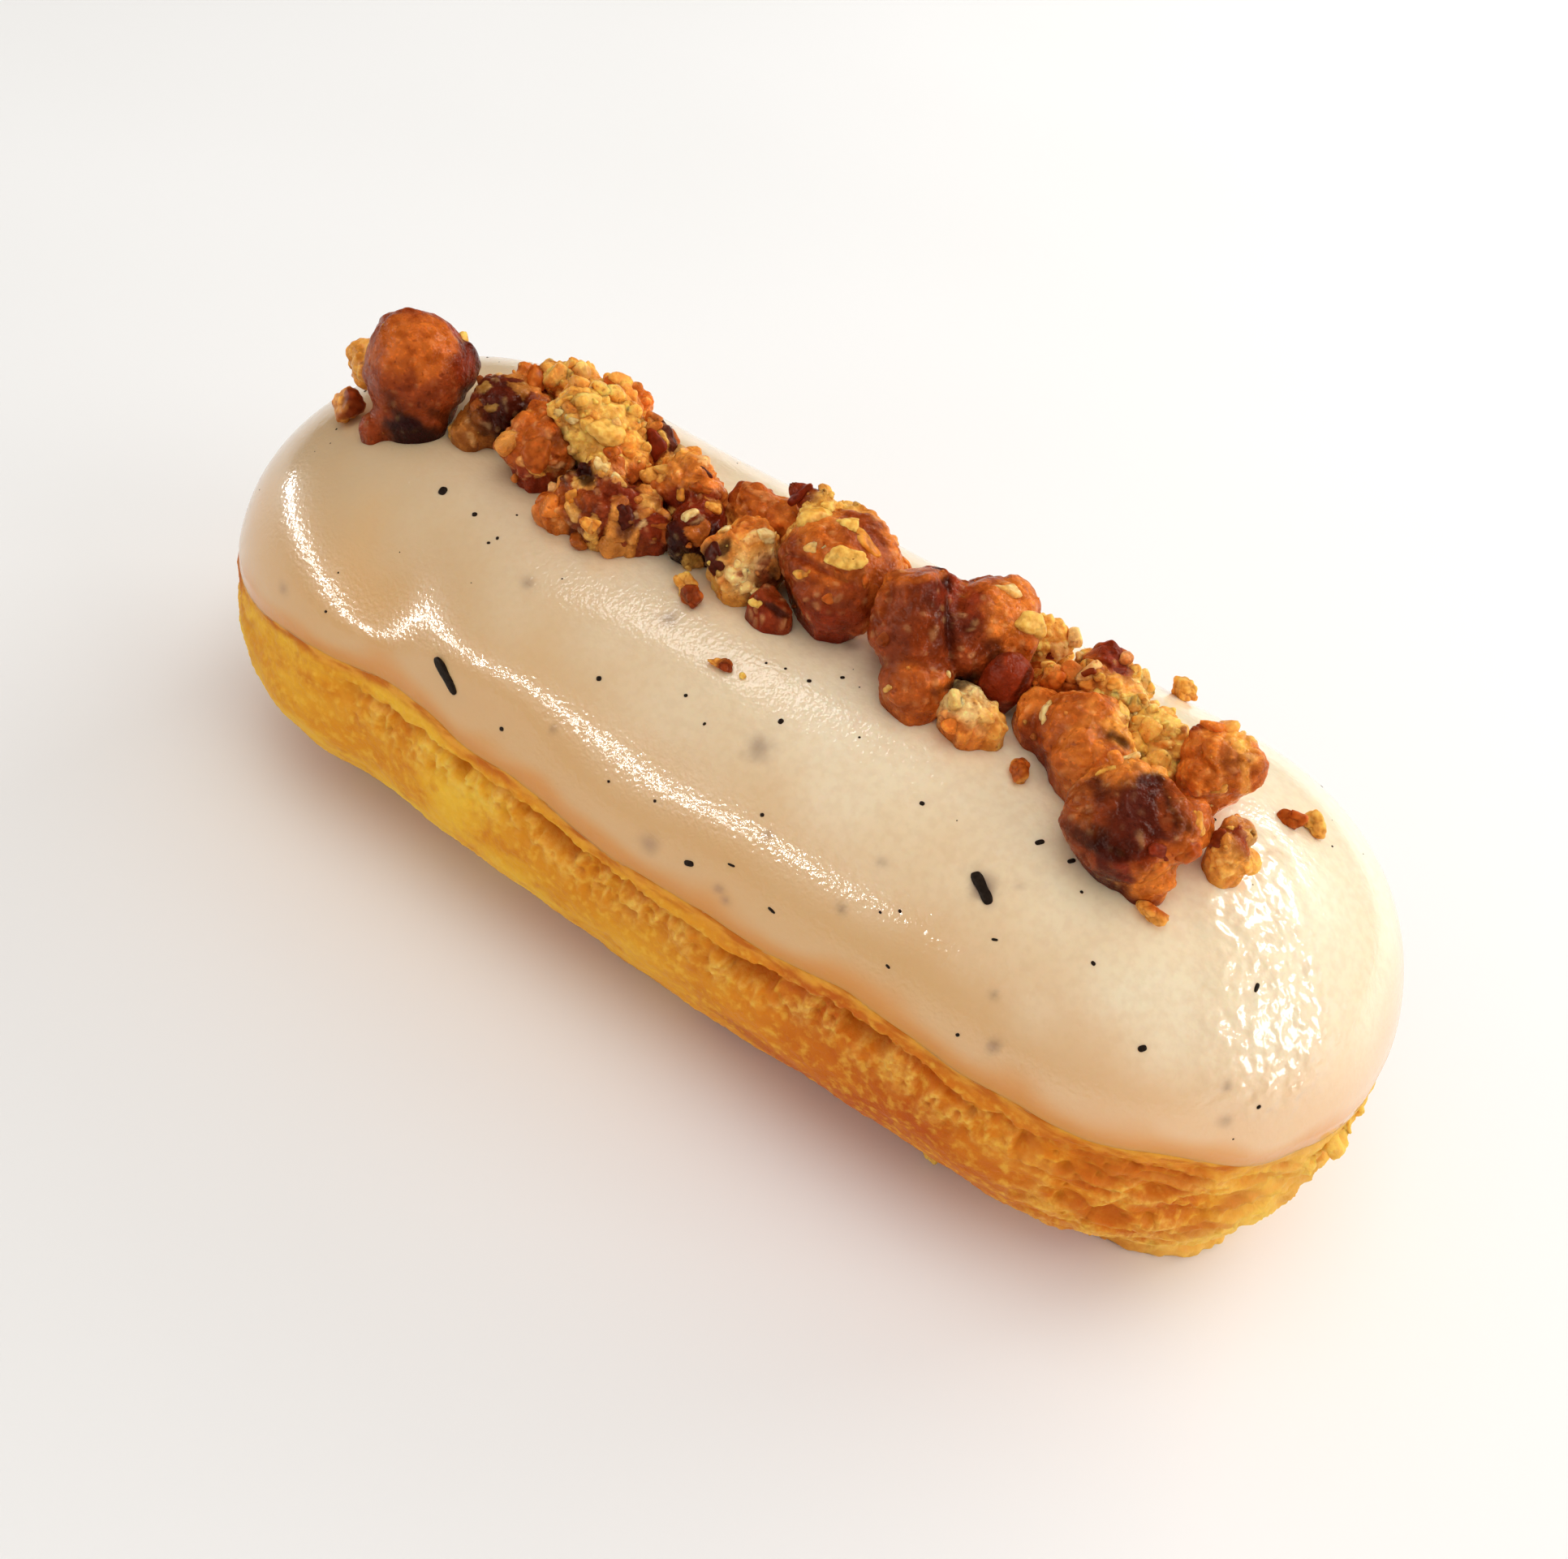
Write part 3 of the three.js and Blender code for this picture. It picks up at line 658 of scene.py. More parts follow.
def piece_tree(piece):
    """A piece's surface, in millimetres, for rays to be cast at."""
    faces = [tuple(face.vertices) for face in piece.data.polygons]
    return BVHTree.FromPolygons([Vector(p) for p in mesh_points(piece.data)], faces)


# Choux shell.

def skin_heights():
    """Shares of the height up to the rim, close together across the tear."""
    step = np.linspace(0, 1, 400)
    density = 1 + 1.6 * bell((step - 0.85) / 0.13)
    gathered = np.concatenate([[0], np.cumsum((density[1:] + density[:-1]) / 2)])
    return np.interp(np.linspace(0, 1, CHOUX_STEPS["up"]), gathered / gathered[-1], step)


# The choux's fine forms: their sizes in mm, and how deep they go where they are whole.
SKIN_SIZES = {
    "pocket": 2.7, "strand": 0.62, "fluff": 0.7, "flake": 2.4, "fold": 0.9, "pore": 1.5, "pin": 0.6,
}
SKIN_DEPTHS = {
    "strand": 0.14, "fluff": 0.32, "flake": 0.22, "fold": 0.1, "pore": 0.4, "pin": 0.22,
}

# How the tear's line wanders up and down: heights and sizes in mm, and seeds.
TEAR_WANDER = [(0.4, 4.2, 13), (0.22, 1.2, 14), (0.12, 0.5, 15)]


def tear_relief(x, y, z, points, rim):
    """The torn crevice: its depth, the strands of crumb below it, and how much painted shade its
    pockets get.
    """
    start, end = (np.where(y < 0, *spans) for spans in zip(TEAR_SPANS["near"], TEAR_SPANS["far"]))
    span = ease(start - TEAR_FADE / 2, start + TEAR_FADE / 2, x)
    span = span * ease(end + TEAR_FADE / 2, end - TEAR_FADE / 2, x)
    along = points * [1, 1, 0.15]
    pocket = noise(along, SKIN_SIZES["pocket"], 11) + 0.5 * noise(along, 1.0, 12)
    pocket = ease(-0.05, 0.3, pocket)
    centre = rim - TEAR_BELOW_RIM + 0.15 * np.sin(0.5 * x + 1)
    for height, size, seed in TEAR_WANDER:
        centre = centre + height * noise(along, size, seed)
    above = z - centre
    upper = 0.28 + 0.24 * pocket
    lower = 0.3 + 0.5 * pocket
    across = np.where(above > 0, ease(1.3 * upper, 0.4 * upper, above), ease(-1.9 * lower, 0, above))
    depth = TEAR_DEPTH * span * (0.25 + 0.8 * pocket) * across
    below = span * ease(-3.2, -0.8, above) * ease(0.7, 0.1, above)
    strand = ridges(points * [1, 1, 0.4], SKIN_SIZES["strand"], 16)
    fluff, _, _ = cells(points, SKIN_SIZES["fluff"], 18)
    torn = SKIN_DEPTHS["strand"] * (1 - strand) + SKIN_DEPTHS["fluff"] * ease(0.5, 0.15, fluff)
    pale = below * np.clip(0.25 + 0.6 * strand, 0, 1) * (1 - 0.9 * across * pocket)
    return depth + below * torn, pale, span * across * (0.25 + 0.75 * pocket)


def choux_relief(x, y, z, points, rim):
    """How far the skin lies inside the smooth body, and the masks that colour it."""
    low = ease(0, 2, z)
    rough = SHELL_LUMP_HEIGHT * (1 + lumps(x, y, z, SHELL_LUMP_SIZE, 2.2))
    settled = ease(0.0, TUCK_REACH, rim - z)
    tuck = TUCK_UNDER_RIM * (1 - settled)
    foot = FOOT_FLANGE * ease(27, 37, x) * ease(FOOT_HEIGHT, 0.3, z)
    depth, pale, hollow_shade = tear_relief(x, y, z, points, rim)
    open_end = np.maximum(ease(22, 30, x), 0.35 * ease(-26, -34, x)) * ease(rim, rim - 1.5, z)
    flat = points * [1, 1, 2.3]
    flake = ridges(flat, SKIN_SIZES["flake"], 31)
    fold = ridges(flat, SKIN_SIZES["fold"], 32)
    pore, _, pick = cells(points * [1, 1, 1.3], SKIN_SIZES["pore"], 26)
    open_share = np.clip(pale + open_end, 0, 1)
    pore = ease(0.4, 0.2, pore) * (pick > 0.8) * open_share
    pin, _, pin_pick = cells(points, SKIN_SIZES["pin"], 27)
    pin = ease(0.32, 0.12, pin) * (pin_pick > 0.55) * open_share
    holes = SKIN_DEPTHS["pore"] * pore + SKIN_DEPTHS["pin"] * pin
    flaky = open_end * (SKIN_DEPTHS["flake"] * (1 - flake) + SKIN_DEPTHS["fold"] * (1 - fold))
    wrinkle = 0.06 * noise(points * [0.45, 0.45, 1.3], 1.4, 33) + 0.035 * fractal(points, 0.8, 34)
    grain = 0.03 * ridges(points, 0.45, 35)
    ragged_foot = (0.16 * noise(points, 1.1, 37) + 0.1 * ridges(points, 0.6, 38)) * ease(1.8, 0.2, z)
    uneven = rough + depth + flaky + holes + wrinkle + grain
    relief = low * settled * uneven + tuck - foot
    spots = ease(0.05, 0.55, noise(points, 1.7, 43)) * ease(-21, -25, x) * ease(3.4, 0.8, rim - z)
    masks = {
        "edge": ease(0.9, 0.2, rim - z),
        "baked": ease(-8, 13, x + 2 * noise(points, 6, 44)) * ease(38, 33, x),
        # Painted shade in the tear's pockets and in the pores.
        "hollow_shade": np.clip(hollow_shade + 0.85 * pore + 0.5 * pin, 0, 1),
        "crumb": np.clip(pale + open_end * (0.15 + 0.5 * flake) * (1 - pore), 0, 1) * (1 - hollow_shade),
        "bare_end": 0.6 * ease(33, 37.5, x + 2 * noise(points, 3, 46)),
        "brown": np.clip(spots + 0.75 * open_end * ease(0.0, 0.5, noise(flat, 3.2, 42)), 0, 1),
    }
    return relief + ragged_foot * (z > 0.05), masks


def make_choux():
    plan = Plan(CHOUX_STEPS["end"], CHOUX_STEPS["spine"])
    rim = rim_height(plan.edge_x, plan.edge_y)
    z = skin_heights()[:, None] * rim
    r = half_width(plan.edge_x, z, 0)
    smooth = plan.rings(r, z).reshape(-1, 3)
    x, y, rim_all = (np.broadcast_to(v, z.shape).ravel() for v in (plan.edge_x, plan.edge_y, rim))
    relief, masks = choux_relief(x, y, z.ravel(), smooth, rim_all)
    skin = plan.rings(r, z, relief.reshape(z.shape))
    ledge = GLAZE_THICKNESS + LAYER_GAP
    hidden = plan.dome_rings(rim + HIDDEN_START["choux"], ledge, np.linspace(0, 1, 5)[:-1])
    rings = np.concatenate([skin, np.stack(hidden)])
    points, faces = plan.loft(rings, 0, HEIGHT - ledge)
    before = plan.spine_steps + 1
    after = len(points) - before - z.size
    masks = {key: np.pad(values, (before, after)) for key, values in masks.items()}
    piece = make_piece("choux_pastry", points, faces, choux_material(), "choux", masks)
    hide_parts("choux_shell")
    return piece


# Vanilla glaze.

# Where the glaze glitters on small ripples in the photo: pixel x and y, and reach in mm.
GRAINY_SPOTS = [(1535, 1060, 3.0), (1550, 1130, 4.0), (1570, 1210, 4.6), (1565, 1285, 5.0)]

# The glaze's faint unevenness all over: heights and sizes in mm, and seeds.
GLAZE_DRIFT = [(0.035, 6.5, 51), (0.012, 2.6, 52)]

# Gentle mounds and dents of the glaze on the near shoulder: x, y, z, reach and height.
GLAZE_MOUNDS = [
    (-20.5, -12.0, 20.6, 3.4, -0.75),
    (-20.5, -14.8, 15.5, 2.6, 0.4),
    (-12.5, -12.6, 20.2, 4.6, 0.68),
    (-11.0, -15.2, 15.8, 3.4, -0.4),
    (-1.0, -12.6, 20.2, 3.5, -0.3),
]


def glaze_swell(points, share):
    """How far the glaze's outer face stands out of the smooth dome."""
    full = np.minimum(1, 2 * share)
    swell = full * WAVE_HEIGHT * lumps(points[:, 0], points[:, 1], points[:, 2], WAVE_SIZE, 4.1)
    early = np.minimum(1, 8 * share)
    swell += early * sum(height * noise(points, size, seed) for height, size, seed in GLAZE_DRIFT)
    for *place, reach, height in GLAZE_MOUNDS:
        swell += early * height * bell(np.linalg.norm(points - place, axis=1) / reach)
    return swell


def glaze_rings(plan, rim):
    """Rings down the inner face, round the dipped edge and up the outer face."""
    shares = np.linspace(1, 0, GLAZE_STEPS["inner"] + 1)[1:]
    inner = plan.dome_rings(rim + HIDDEN_START["glaze"], GLAZE_THICKNESS, shares)
    edge = []
    for share in np.linspace(0, 1, GLAZE_STEPS["edge"] + 1)[:-1]:
        z = rim - EDGE_LAP + (RIM_BLEND + EDGE_LAP) * share
        edge.append(plan.rings(half_width(plan.edge_x, z, TUCK_UNDER_RIM * ease(1, 0, share)), z))
    shares = np.linspace(0, 1, GLAZE_STEPS["up"] + 1)[:-1]
    outer = plan.dome_rings(rim + RIM_BLEND, 0, shares, glaze_swell)
    return np.stack(inner + edge + outer)


# Where the photo shows soft marks under the glaze's surface: pixel x and y, reach and depth of tone.
SUNK_MARKS = [
    (1211, 1094, 0.75, 0.75),
    (652, 721, 0.45, 0.5),
    (801, 1040, 0.6, 0.35),
    (823, 762, 0.55, 0.45),
    (1049, 795, 0.7, 0.4),
    (1225, 1289, 0.45, 0.45),
    (520, 696, 0.35, 0.35),
    (349, 726, 0.45, 0.3),
    (682, 898, 0.3, 0.35),
    (886, 1095, 0.3, 0.4),
    (894, 1109, 0.3, 0.35),
    (1037, 1120, 0.35, 0.45),
    (1085, 1064, 0.35, 0.3),
    (946, 1029, 0.3, 0.4),
    (1225, 1226, 0.35, 0.35),
    (935, 921, 0.85, 0.45),
    (1259, 1093, 0.35, 0.25),
    (1512, 1340, 0.35, 0.4),
    (1511, 1380, 0.4, 0.35),
]


def sunk_marks(points):
    """The tone of the soft marks, with ragged borders."""
    ragged = 0.8 + 0.35 * noise(points, 0.5, 61)
    tone = np.zeros(len(points))
    for px, py, reach, depth in SUNK_MARKS:
        share = bell(distance_from(points, px, py) / (reach * ragged))
        tone = np.maximum(tone, 1.15 * depth * share)
    return tone


def glaze_masks(points, rim_below):
    """Where the glaze is thin, slopes, glitters, catches light, lies right and has sunk marks."""
    x, y, z = points.T
    height = z - rim_below
    drift = noise(points, 2.6, 58)
    right = ease(14, 32, x)
    grainy = np.zeros(len(points))
    for px, py, reach in GRAINY_SPOTS:
        share = ease(reach, 0.5 * reach, distance_from(points, px, py))
        grainy = np.maximum(grainy, share)
    return {
        "thin": ease(1.7, 0.2, height * (1 + 0.4 * drift)),
        "slope": 0.9 * ease(9.8 - 2.5 * right, 2.6 - right, height + 0.8 * drift),
        "grainy": grainy,
        # Painted shade: darker towards the left, lighter towards the right, where light falls.
        "light": ease(-44, 14, x + 0.5 * y + 3 * noise(points, 12, 59)),
        "right": right,
        "sunk": sunk_marks(points),
    }


def make_glaze():
    plan = Plan(GLAZE_STEPS["end"], GLAZE_STEPS["spine"])
    rim = rim_height(plan.edge_x, plan.edge_y)
    rings = glaze_rings(plan, rim)
    points, faces = plan.loft(rings, HEIGHT - GLAZE_THICKNESS, HEIGHT)
    # The lines that shut the surface are part of no slope, so the rim counts as far below them.
    rim_below = np.pad(np.tile(rim, len(rings)), plan.spine_steps + 1, constant_values=-HEIGHT)
    masks = glaze_masks(points, rim_below)
    piece = make_piece("glaze_coat", points, faces, glaze_material(), "glaze", masks)
    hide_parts("vanilla_glaze")
    return piece


# Broken lumps.

# How many flats cut each lump.
FLATS_PER_LUMP = 9


def ball(detail):
    """Points and faces of an even ball of radius 1."""
    mesh = bpy.data.meshes.new("ball")
    made = bmesh.new()
    bmesh.ops.create_icosphere(made, subdivisions=detail, radius=1.0)
    made.to_mesh(mesh)
    made.free()
    points = read(mesh.vertices, "co", 3)
    faces = np.array([list(face.vertices) for face in mesh.polygons])
    bpy.data.meshes.remove(mesh)
    return points, faces


def random_turns(count, rng):
    """Evenly random rotation matrices."""
    quads = rng.normal(size=(count, 4))
    w, x, y, z = (quads / np.linalg.norm(quads, axis=1, keepdims=True)).T
    rows = [
        [1 - 2 * (y * y + z * z), 2 * (x * y - z * w), 2 * (x * z + y * w)],
        [2 * (x * y + z * w), 1 - 2 * (x * x + z * z), 2 * (y * z - x * w)],
        [2 * (x * z - y * w), 2 * (y * z + x * w), 1 - 2 * (x * x + y * y)],
    ]
    return np.moveaxis(np.array(rows), 2, 0)


def broken_shapes(detail, kinds, rng, edge=12):
    """A few lumps of about radius 1, cut by random flats that meet the sharper the larger edge is."""
    points, faces = ball(detail)
    shapes = []
    for _ in range(kinds):
        flats = rng.normal(size=(FLATS_PER_LUMP, 3))
        flats /= np.linalg.norm(flats, axis=1, keepdims=True)
        reach = rng.uniform(0.62, 1.0, FLATS_PER_LUMP)
        facing = np.clip(points @ flats.T, 1e-3, None) / reach
        radius = np.sum(facing ** edge, axis=1) ** (-1 / edge)
        shapes.append(points * np.minimum(radius, 1.25)[:, None])
    return shapes, faces


def scatter(shapes, faces, places, sizes, colours, rng):
    """Joins one turned and scaled lump for each place. Gives points, faces and point colours."""
    per_shape = len(shapes[0])
    picked = np.array(shapes)[rng.integers(0, len(shapes), len(places))]
    squash = rng.uniform(0.65, 1.2, (len(places), 1, 3))
    turned = np.einsum("nij,nkj->nki", random_turns(len(places), rng), picked * squash)
    points = places[:, None, :] + turned * (sizes / 2)[:, None, None]
    joined = (faces[None] + per_shape * np.arange(len(places))[:, None, None]).reshape(-1, 3)
    return points.reshape(-1, 3), joined.tolist(), np.repeat(colours, per_shape, axis=0)


# The colours of nut, caramel and crumb, with dark also used as painted shade.
TONES = {
    "dark": srgb(42, 10, 3),
    "purple": srgb(84, 28, 16),
    "brown": srgb(142, 60, 24),
    "red": srgb(136, 46, 20),
    "amber": srgb(188, 95, 32),
    "orange": srgb(212, 119, 44),
    "gold": srgb(240, 168, 76),
    "yellow": srgb(254, 202, 104),
    "pale": srgb(253, 215, 148),
    "olive": srgb(168, 102, 42),
}

# How each nut piece looks: its roughness, from 0 for a whole kernel to 1 for crumble, its chunks
# and grains for each square mm, and its tones at places given by x, y and height above the glaze.
# Dark tones low on a piece are painted shade at its foot and between pieces; higher up they are dark
# caramel.
NUT_LOOKS = {
    "nut_hazel": (0.15, 0, 0.15, [
        (-26.7, -3.5, 4.4, "amber"), (-28.9, -3.2, 4.8, "brown"), (-25.3, -4.2, 2.6, "brown"),
        (-27.9, -5.2, 1.8, "brown"), (-26.2, -5.0, 0.8, "dark"), (-24.6, -1.9, 3.6, "purple"),
        (-25.6, -1.6, 5.4, "red"), (-30.3, -3.9, 2.8, "gold"), (-27.6, -6.3, 0.6, "brown"),
        (-27.2, -2.0, 6.4, "brown"), (-26.0, -3.9, 5.4, "amber"),
    ]),
    "nut_dark_crumble": (0.7, 0.15, 0.4, [
        (-21.5, -1.4, 2.2, "brown"), (-22.6, -1.2, 1.8, "dark"), (-21.7, 0.4, 3.6, "orange"),
        (-22.9, -3.0, 0.9, "olive"), (-20.8, -2.2, 0.8, "dark"), (-21.4, -2.2, 2.6, "purple"),
    ]),
    "nut_back_crumble": (1.0, 0.55, 0.8, [
        (-19.9, 1.9, 2.4, "gold"), (-18.8, 2.4, 3.2, "yellow"), (-17.6, 2.7, 1.9, "gold"),
        (-17.0, 4.3, 2.2, "orange"), (-20.4, 0.6, 1.2, "amber"), (-19.0, 0.8, 1.2, "brown"),
    ]),
    "nut_orange": (0.7, 0.3, 0.6, [
        (-17.8, -2.9, 1.7, "amber"), (-18.6, -2.1, 2.9, "amber"), (-17.2, -3.9, 0.8, "red"),
    ]),
    "nut_golden": (1.0, 0.6, 0.8, [
        (-15.2, -1.0, 3.6, "yellow"), (-14.4, -2.2, 3.0, "yellow"), (-13.0, -2.6, 1.8, "amber"),
        (-12.9, 1.4, 3.0, "purple"), (-12.6, 0.6, 1.4, "orange"), (-16.6, 0.0, 3.2, "gold"),
        (-15.6, -3.2, 1.2, "dark"), (-13.8, 0.2, 3.2, "gold"),
    ]),
    "nut_low_crumble": (1.0, 0.5, 0.8, [
        (-12.9, -4.6, 1.8, "brown"), (-11.4, -4.6, 0.8, "brown"), (-10.4, -3.9, 1.8, "red"),
        (-12.2, -3.2, 2.6, "brown"), (-14.2, -5.0, 1.0, "amber"), (-13.4, -6.0, 0.6, "orange"),
        (-10.0, -5.0, 0.6, "brown"), (-14.6, -3.6, 1.6, "dark"), (-12.0, -5.2, 0.6, "purple"),
    ]),
    "nut_column": (0.9, 0.35, 0.7, [
        (-8.7, -0.6, 3.2, "orange"), (-9.8, -2.2, 2.2, "amber"), (-7.4, -1.8, 2.2, "red"),
        (-7.0, -2.8, 0.6, "dark"), (-8.2, -2.6, 1.0, "dark"), (-9.4, -0.4, 2.8, "gold"),
    ]),
    "nut_brown_cap": (0.6, 0.2, 0.5, [
        (-4.8, 0.3, 2.8, "amber"), (-5.6, 1.2, 2.6, "brown"), (-3.2, 1.0, 2.6, "orange"),
        (-4.2, -1.0, 1.4, "gold"),
    ]),
    "nut_pale": (0.7, 0.3, 0.45, [
        (-3.3, -2.7, 2.4, "gold"), (-4.2, -2.0, 3.0, "orange"), (-3.0, -4.0, 0.8, "gold"),
        (-1.9, -2.4, 1.4, "brown"), (-2.6, -3.2, 1.8, "pale"),
    ]),
    "nut_brown": (0.35, 0.08, 0.4, [
        (1.6, -2.2, 3.0, "brown"), (0.2, -3.4, 2.0, "brown"), (2.4, -3.8, 1.0, "red"),
        (3.6, -1.0, 2.6, "amber"), (1.4, 1.6, 4.2, "gold"), (3.0, 1.0, 3.8, "orange"),
        (-0.8, 0.5, 4.6, "yellow"), (-2.4, 0.6, 5.2, "red"), (2.2, -2.9, 5.6, "amber"),
        (0.4, -1.0, 5.0, "orange"), (3.0, -2.6, 3.4, "brown"), (1.4, -0.8, 5.4, "brown"),
    ]),
    "nut_dark_chip": (0.5, 0.2, 0.4, [(-0.7, -4.1, 0.8, "red"), (-0.2, -3.4, 1.2, "brown")]),
    "nut_walnut": (0.4, 0.06, 0.3, [
        (6.4, -2.4, 3.6, "brown"), (5.6, -1.0, 4.2, "amber"), (6.4, -4.6, 1.4, "brown"),
        (8.2, -0.7, 4.8, "red"), (8.1, -1.9, 3.8, "purple"), (9.8, 0.2, 4.6, "orange"),
        (11.0, 0.6, 3.0, "amber"), (9.4, -2.6, 2.6, "brown"), (8.0, 1.4, 5.2, "brown"),
        (8.9, -4.6, 1.2, "amber"), (7.2, -3.4, 2.8, "brown"), (5.0, -2.6, 2.4, "brown"),
    ]),
    "nut_knob": (0.15, 0, 0.1, [(12.1, -1.6, 2.6, "red"), (11.4, -0.6, 1.2, "brown")]),
    "nut_white": (0.6, 0.25, 0.3, [
        (11.9, -3.9, 1.6, "pale"), (12.4, -4.9, 0.5, "orange"), (13.3, -3.6, 0.9, "gold"),
    ]),
    "nut_yellow_chip": (0.8, 0.4, 0.5, [
        (11.6, 3.6, 2.0, "yellow"), (13.0, 4.3, 2.0, "gold"), (12.2, 4.6, 1.0, "gold"),
    ]),
    "nut_mixed_crumble": (1.0, 0.6, 0.8, [
        (17.6, 1.0, 2.6, "gold"), (16.4, 2.4, 3.4, "red"), (15.9, 1.4, 1.8, "orange"),
        (14.6, 0.6, 1.8, "amber"), (17.9, 3.6, 2.0, "yellow"), (18.6, 1.4, 1.6, "pale"),
        (16.8, 0.2, 1.0, "brown"),
    ]),
    "nut_pale_gold": (0.9, 0.5, 0.7, [
        (20.3, 0.9, 2.2, "yellow"), (21.2, -0.9, 1.3, "yellow"), (19.6, -0.6, 0.8, "gold"),
    ]),
    "nut_amber": (0.35, 0.05, 0.35, [
        (17.0, -2.6, 3.0, "amber"), (18.4, -2.0, 3.0, "gold"), (18.3, -3.6, 1.8, "amber"),
        (16.4, -1.0, 3.6, "amber"), (14.7, -1.7, 1.4, "orange"), (16.0, -3.6, 1.2, "brown"),
    ]),
    "nut_dark_roast": (0.4, 0.05, 0.3, [
        (20.4, -5.2, 3.4, "orange"), (21.4, -3.7, 4.0, "gold"), (22.6, -5.2, 4.0, "dark"),
        (21.2, -7.4, 2.6, "brown"), (22.8, -7.8, 1.8, "purple"), (19.4, -7.0, 2.0, "brown"),
        (24.2, -4.4, 2.6, "amber"), (24.0, -6.2, 2.0, "amber"), (23.4, -7.6, 2.2, "red"),
        (22.2, -6.6, 3.4, "purple"), (20.0, -6.2, 3.0, "purple"), (23.2, -4.2, 3.8, "amber"),
    ]),
    "nut_end_amber": (0.4, 0.07, 0.4, [
        (23.6, -0.3, 2.8, "orange"), (24.8, 0.6, 3.2, "amber"), (22.4, 0.1, 4.3, "orange"),
        (23.8, -1.4, 1.2, "orange"), (25.0, -0.8, 1.8, "orange"), (23.4, 0.6, 3.8, "gold"),
    ]),
    "nut_end_chip": (0.8, 0.35, 0.5, [(26.6, -3.8, 1.2, "gold"), (26.3, -2.7, 2.2, "red")]),
}


def nut_slot(name):
    """The record's slot of a nut node."""
    rows = frame["record"]["subparts"]
    return next(row["material_slot"] for row in rows if row["node"] == name)


def remeshed(source, rounds, fill):
    """The evenly meshed form of a solid, with its creases filled by that radius and smoothed by
    that many rounds."""
    rough = add_object("rough", source.data.copy())
    weld = rough.modifiers.new("weld", "WELD")
    weld.merge_threshold = 1e-5 * MM
    for step, moved, smoothing in (("first", fill, 2), ("second", -fill, rounds)):
        remesh = rough.modifiers.new(f"{step}_mesh", "REMESH")
        remesh.mode = "VOXEL"
        remesh.voxel_size = NUT_VOXEL * MM
        soften = rough.modifiers.new(f"{step}_soften", "SMOOTH")
        soften.factor = 0.5
        soften.iterations = smoothing
        move = rough.modifiers.new(f"{step}_move", "DISPLACE")
        move.mid_level = 0
        move.strength = moved * MM
    bpy.context.view_layer.update()
    evaluated = rough.evaluated_get(bpy.context.evaluated_depsgraph_get())
    mesh = bpy.data.meshes.new_from_object(evaluated)
    bpy.data.objects.remove(rough)
    mesh.materials.clear()
    return mesh


def nut_tint(points, anchors, seed):
    """Colours blended between the anchors, with ragged borders."""
    warp = np.stack([noise(points, 1.6, seed + k) for k in range(3)], axis=1)
    finer = np.stack([noise(points, 0.6, seed + k) for k in range(3, 6)], axis=1)
    warped = points + 0.7 * warp + 0.35 * finer
    places = np.array([(x, y, crown_height(x, y) + lift) for x, y, lift, _ in anchors])
    tones = np.array([TONES[tone] for *_, tone in anchors])
    distance = np.linalg.norm(warped[:, None] - places[None], axis=2)
    weight = np.exp(-4.2 * (distance - distance.min(axis=1, keepdims=True)))
    weight /= weight.sum(axis=1, keepdims=True)
    return weight @ tones


# What a colour turns into in creases and at the foot of a piece: darker caramel there, and painted
# shade.
CARAMEL_AND_SHADE = np.array([0.52, 0.3, 0.15])

# The tones of freshly broken nut, each with its share.
FRESH_TONES = {"yellow": 0.26, "gold": 0.32, "pale": 0.14, "orange": 0.18, "amber": 0.1}
FRESH = np.array([TONES[tone] for tone in FRESH_TONES])
FRESH_SHARES = np.cumsum(list(FRESH_TONES.values()))


def crumb_share(tint):
    """How far a colour is that of broken nut, which is rougher than caramel."""
    return ease(0.15, 0.38, tint[:, 1])


# Sizes of what covers the nuts, in mm.
GRIT_SIZE = 0.52
PLATE_SIZE = 2.6


def nut_surface(points, roughness, lump_size, seed):
    """How far plates, lumps and grit stand out, how far it is a crease, the shade and the random
    number of each lump, and how far it is a grain of sugar."""
    bend = np.stack([noise(points, 0.9, seed + k) for k in range(3)], axis=1)
    bent = points + 0.3 * bend
    near, second, value = cells(bent, lump_size, seed + 3)
    fine_near, fine_second, fine_value = cells(bent, GRIT_SIZE, seed + 8)
    apart = second - near
    relief = roughness * (0.3 * (value - 0.4) * ease(0.0, 0.4, apart) + 0.22 * ease(0.75, 0.1, near))
    relief += (0.02 + 0.15 * roughness) * (ease(0.7, 0.1, fine_near) - 0.5)
    relief += (0.05 + 0.06 * roughness) * fractal(points, 1.3, seed + 12)
    plate_near, plate_second, tilt = cells(points + 0.4 * bend, PLATE_SIZE, seed + 20)
    plate = (tilt - 0.5) * ease(0.0, 0.22, plate_second - plate_near)
    relief += np.minimum(1, 3 * roughness) * (0.42 * plate + 0.12 * ridges(points, 3.4, seed + 15))
    crease = np.maximum(ease(0.2, 0.0, apart), 0.55 * ease(0.22, 0.0, fine_second - fine_near))
    shade = 0.78 + 0.26 * value + 0.3 * fine_value
    grain = ease(0.5, 0.2, fine_near) * ease(0.5, 0.7, fine_value)
    return relief, crease, 1 + (shade - 1) * (0.35 + 0.65 * roughness), value, grain


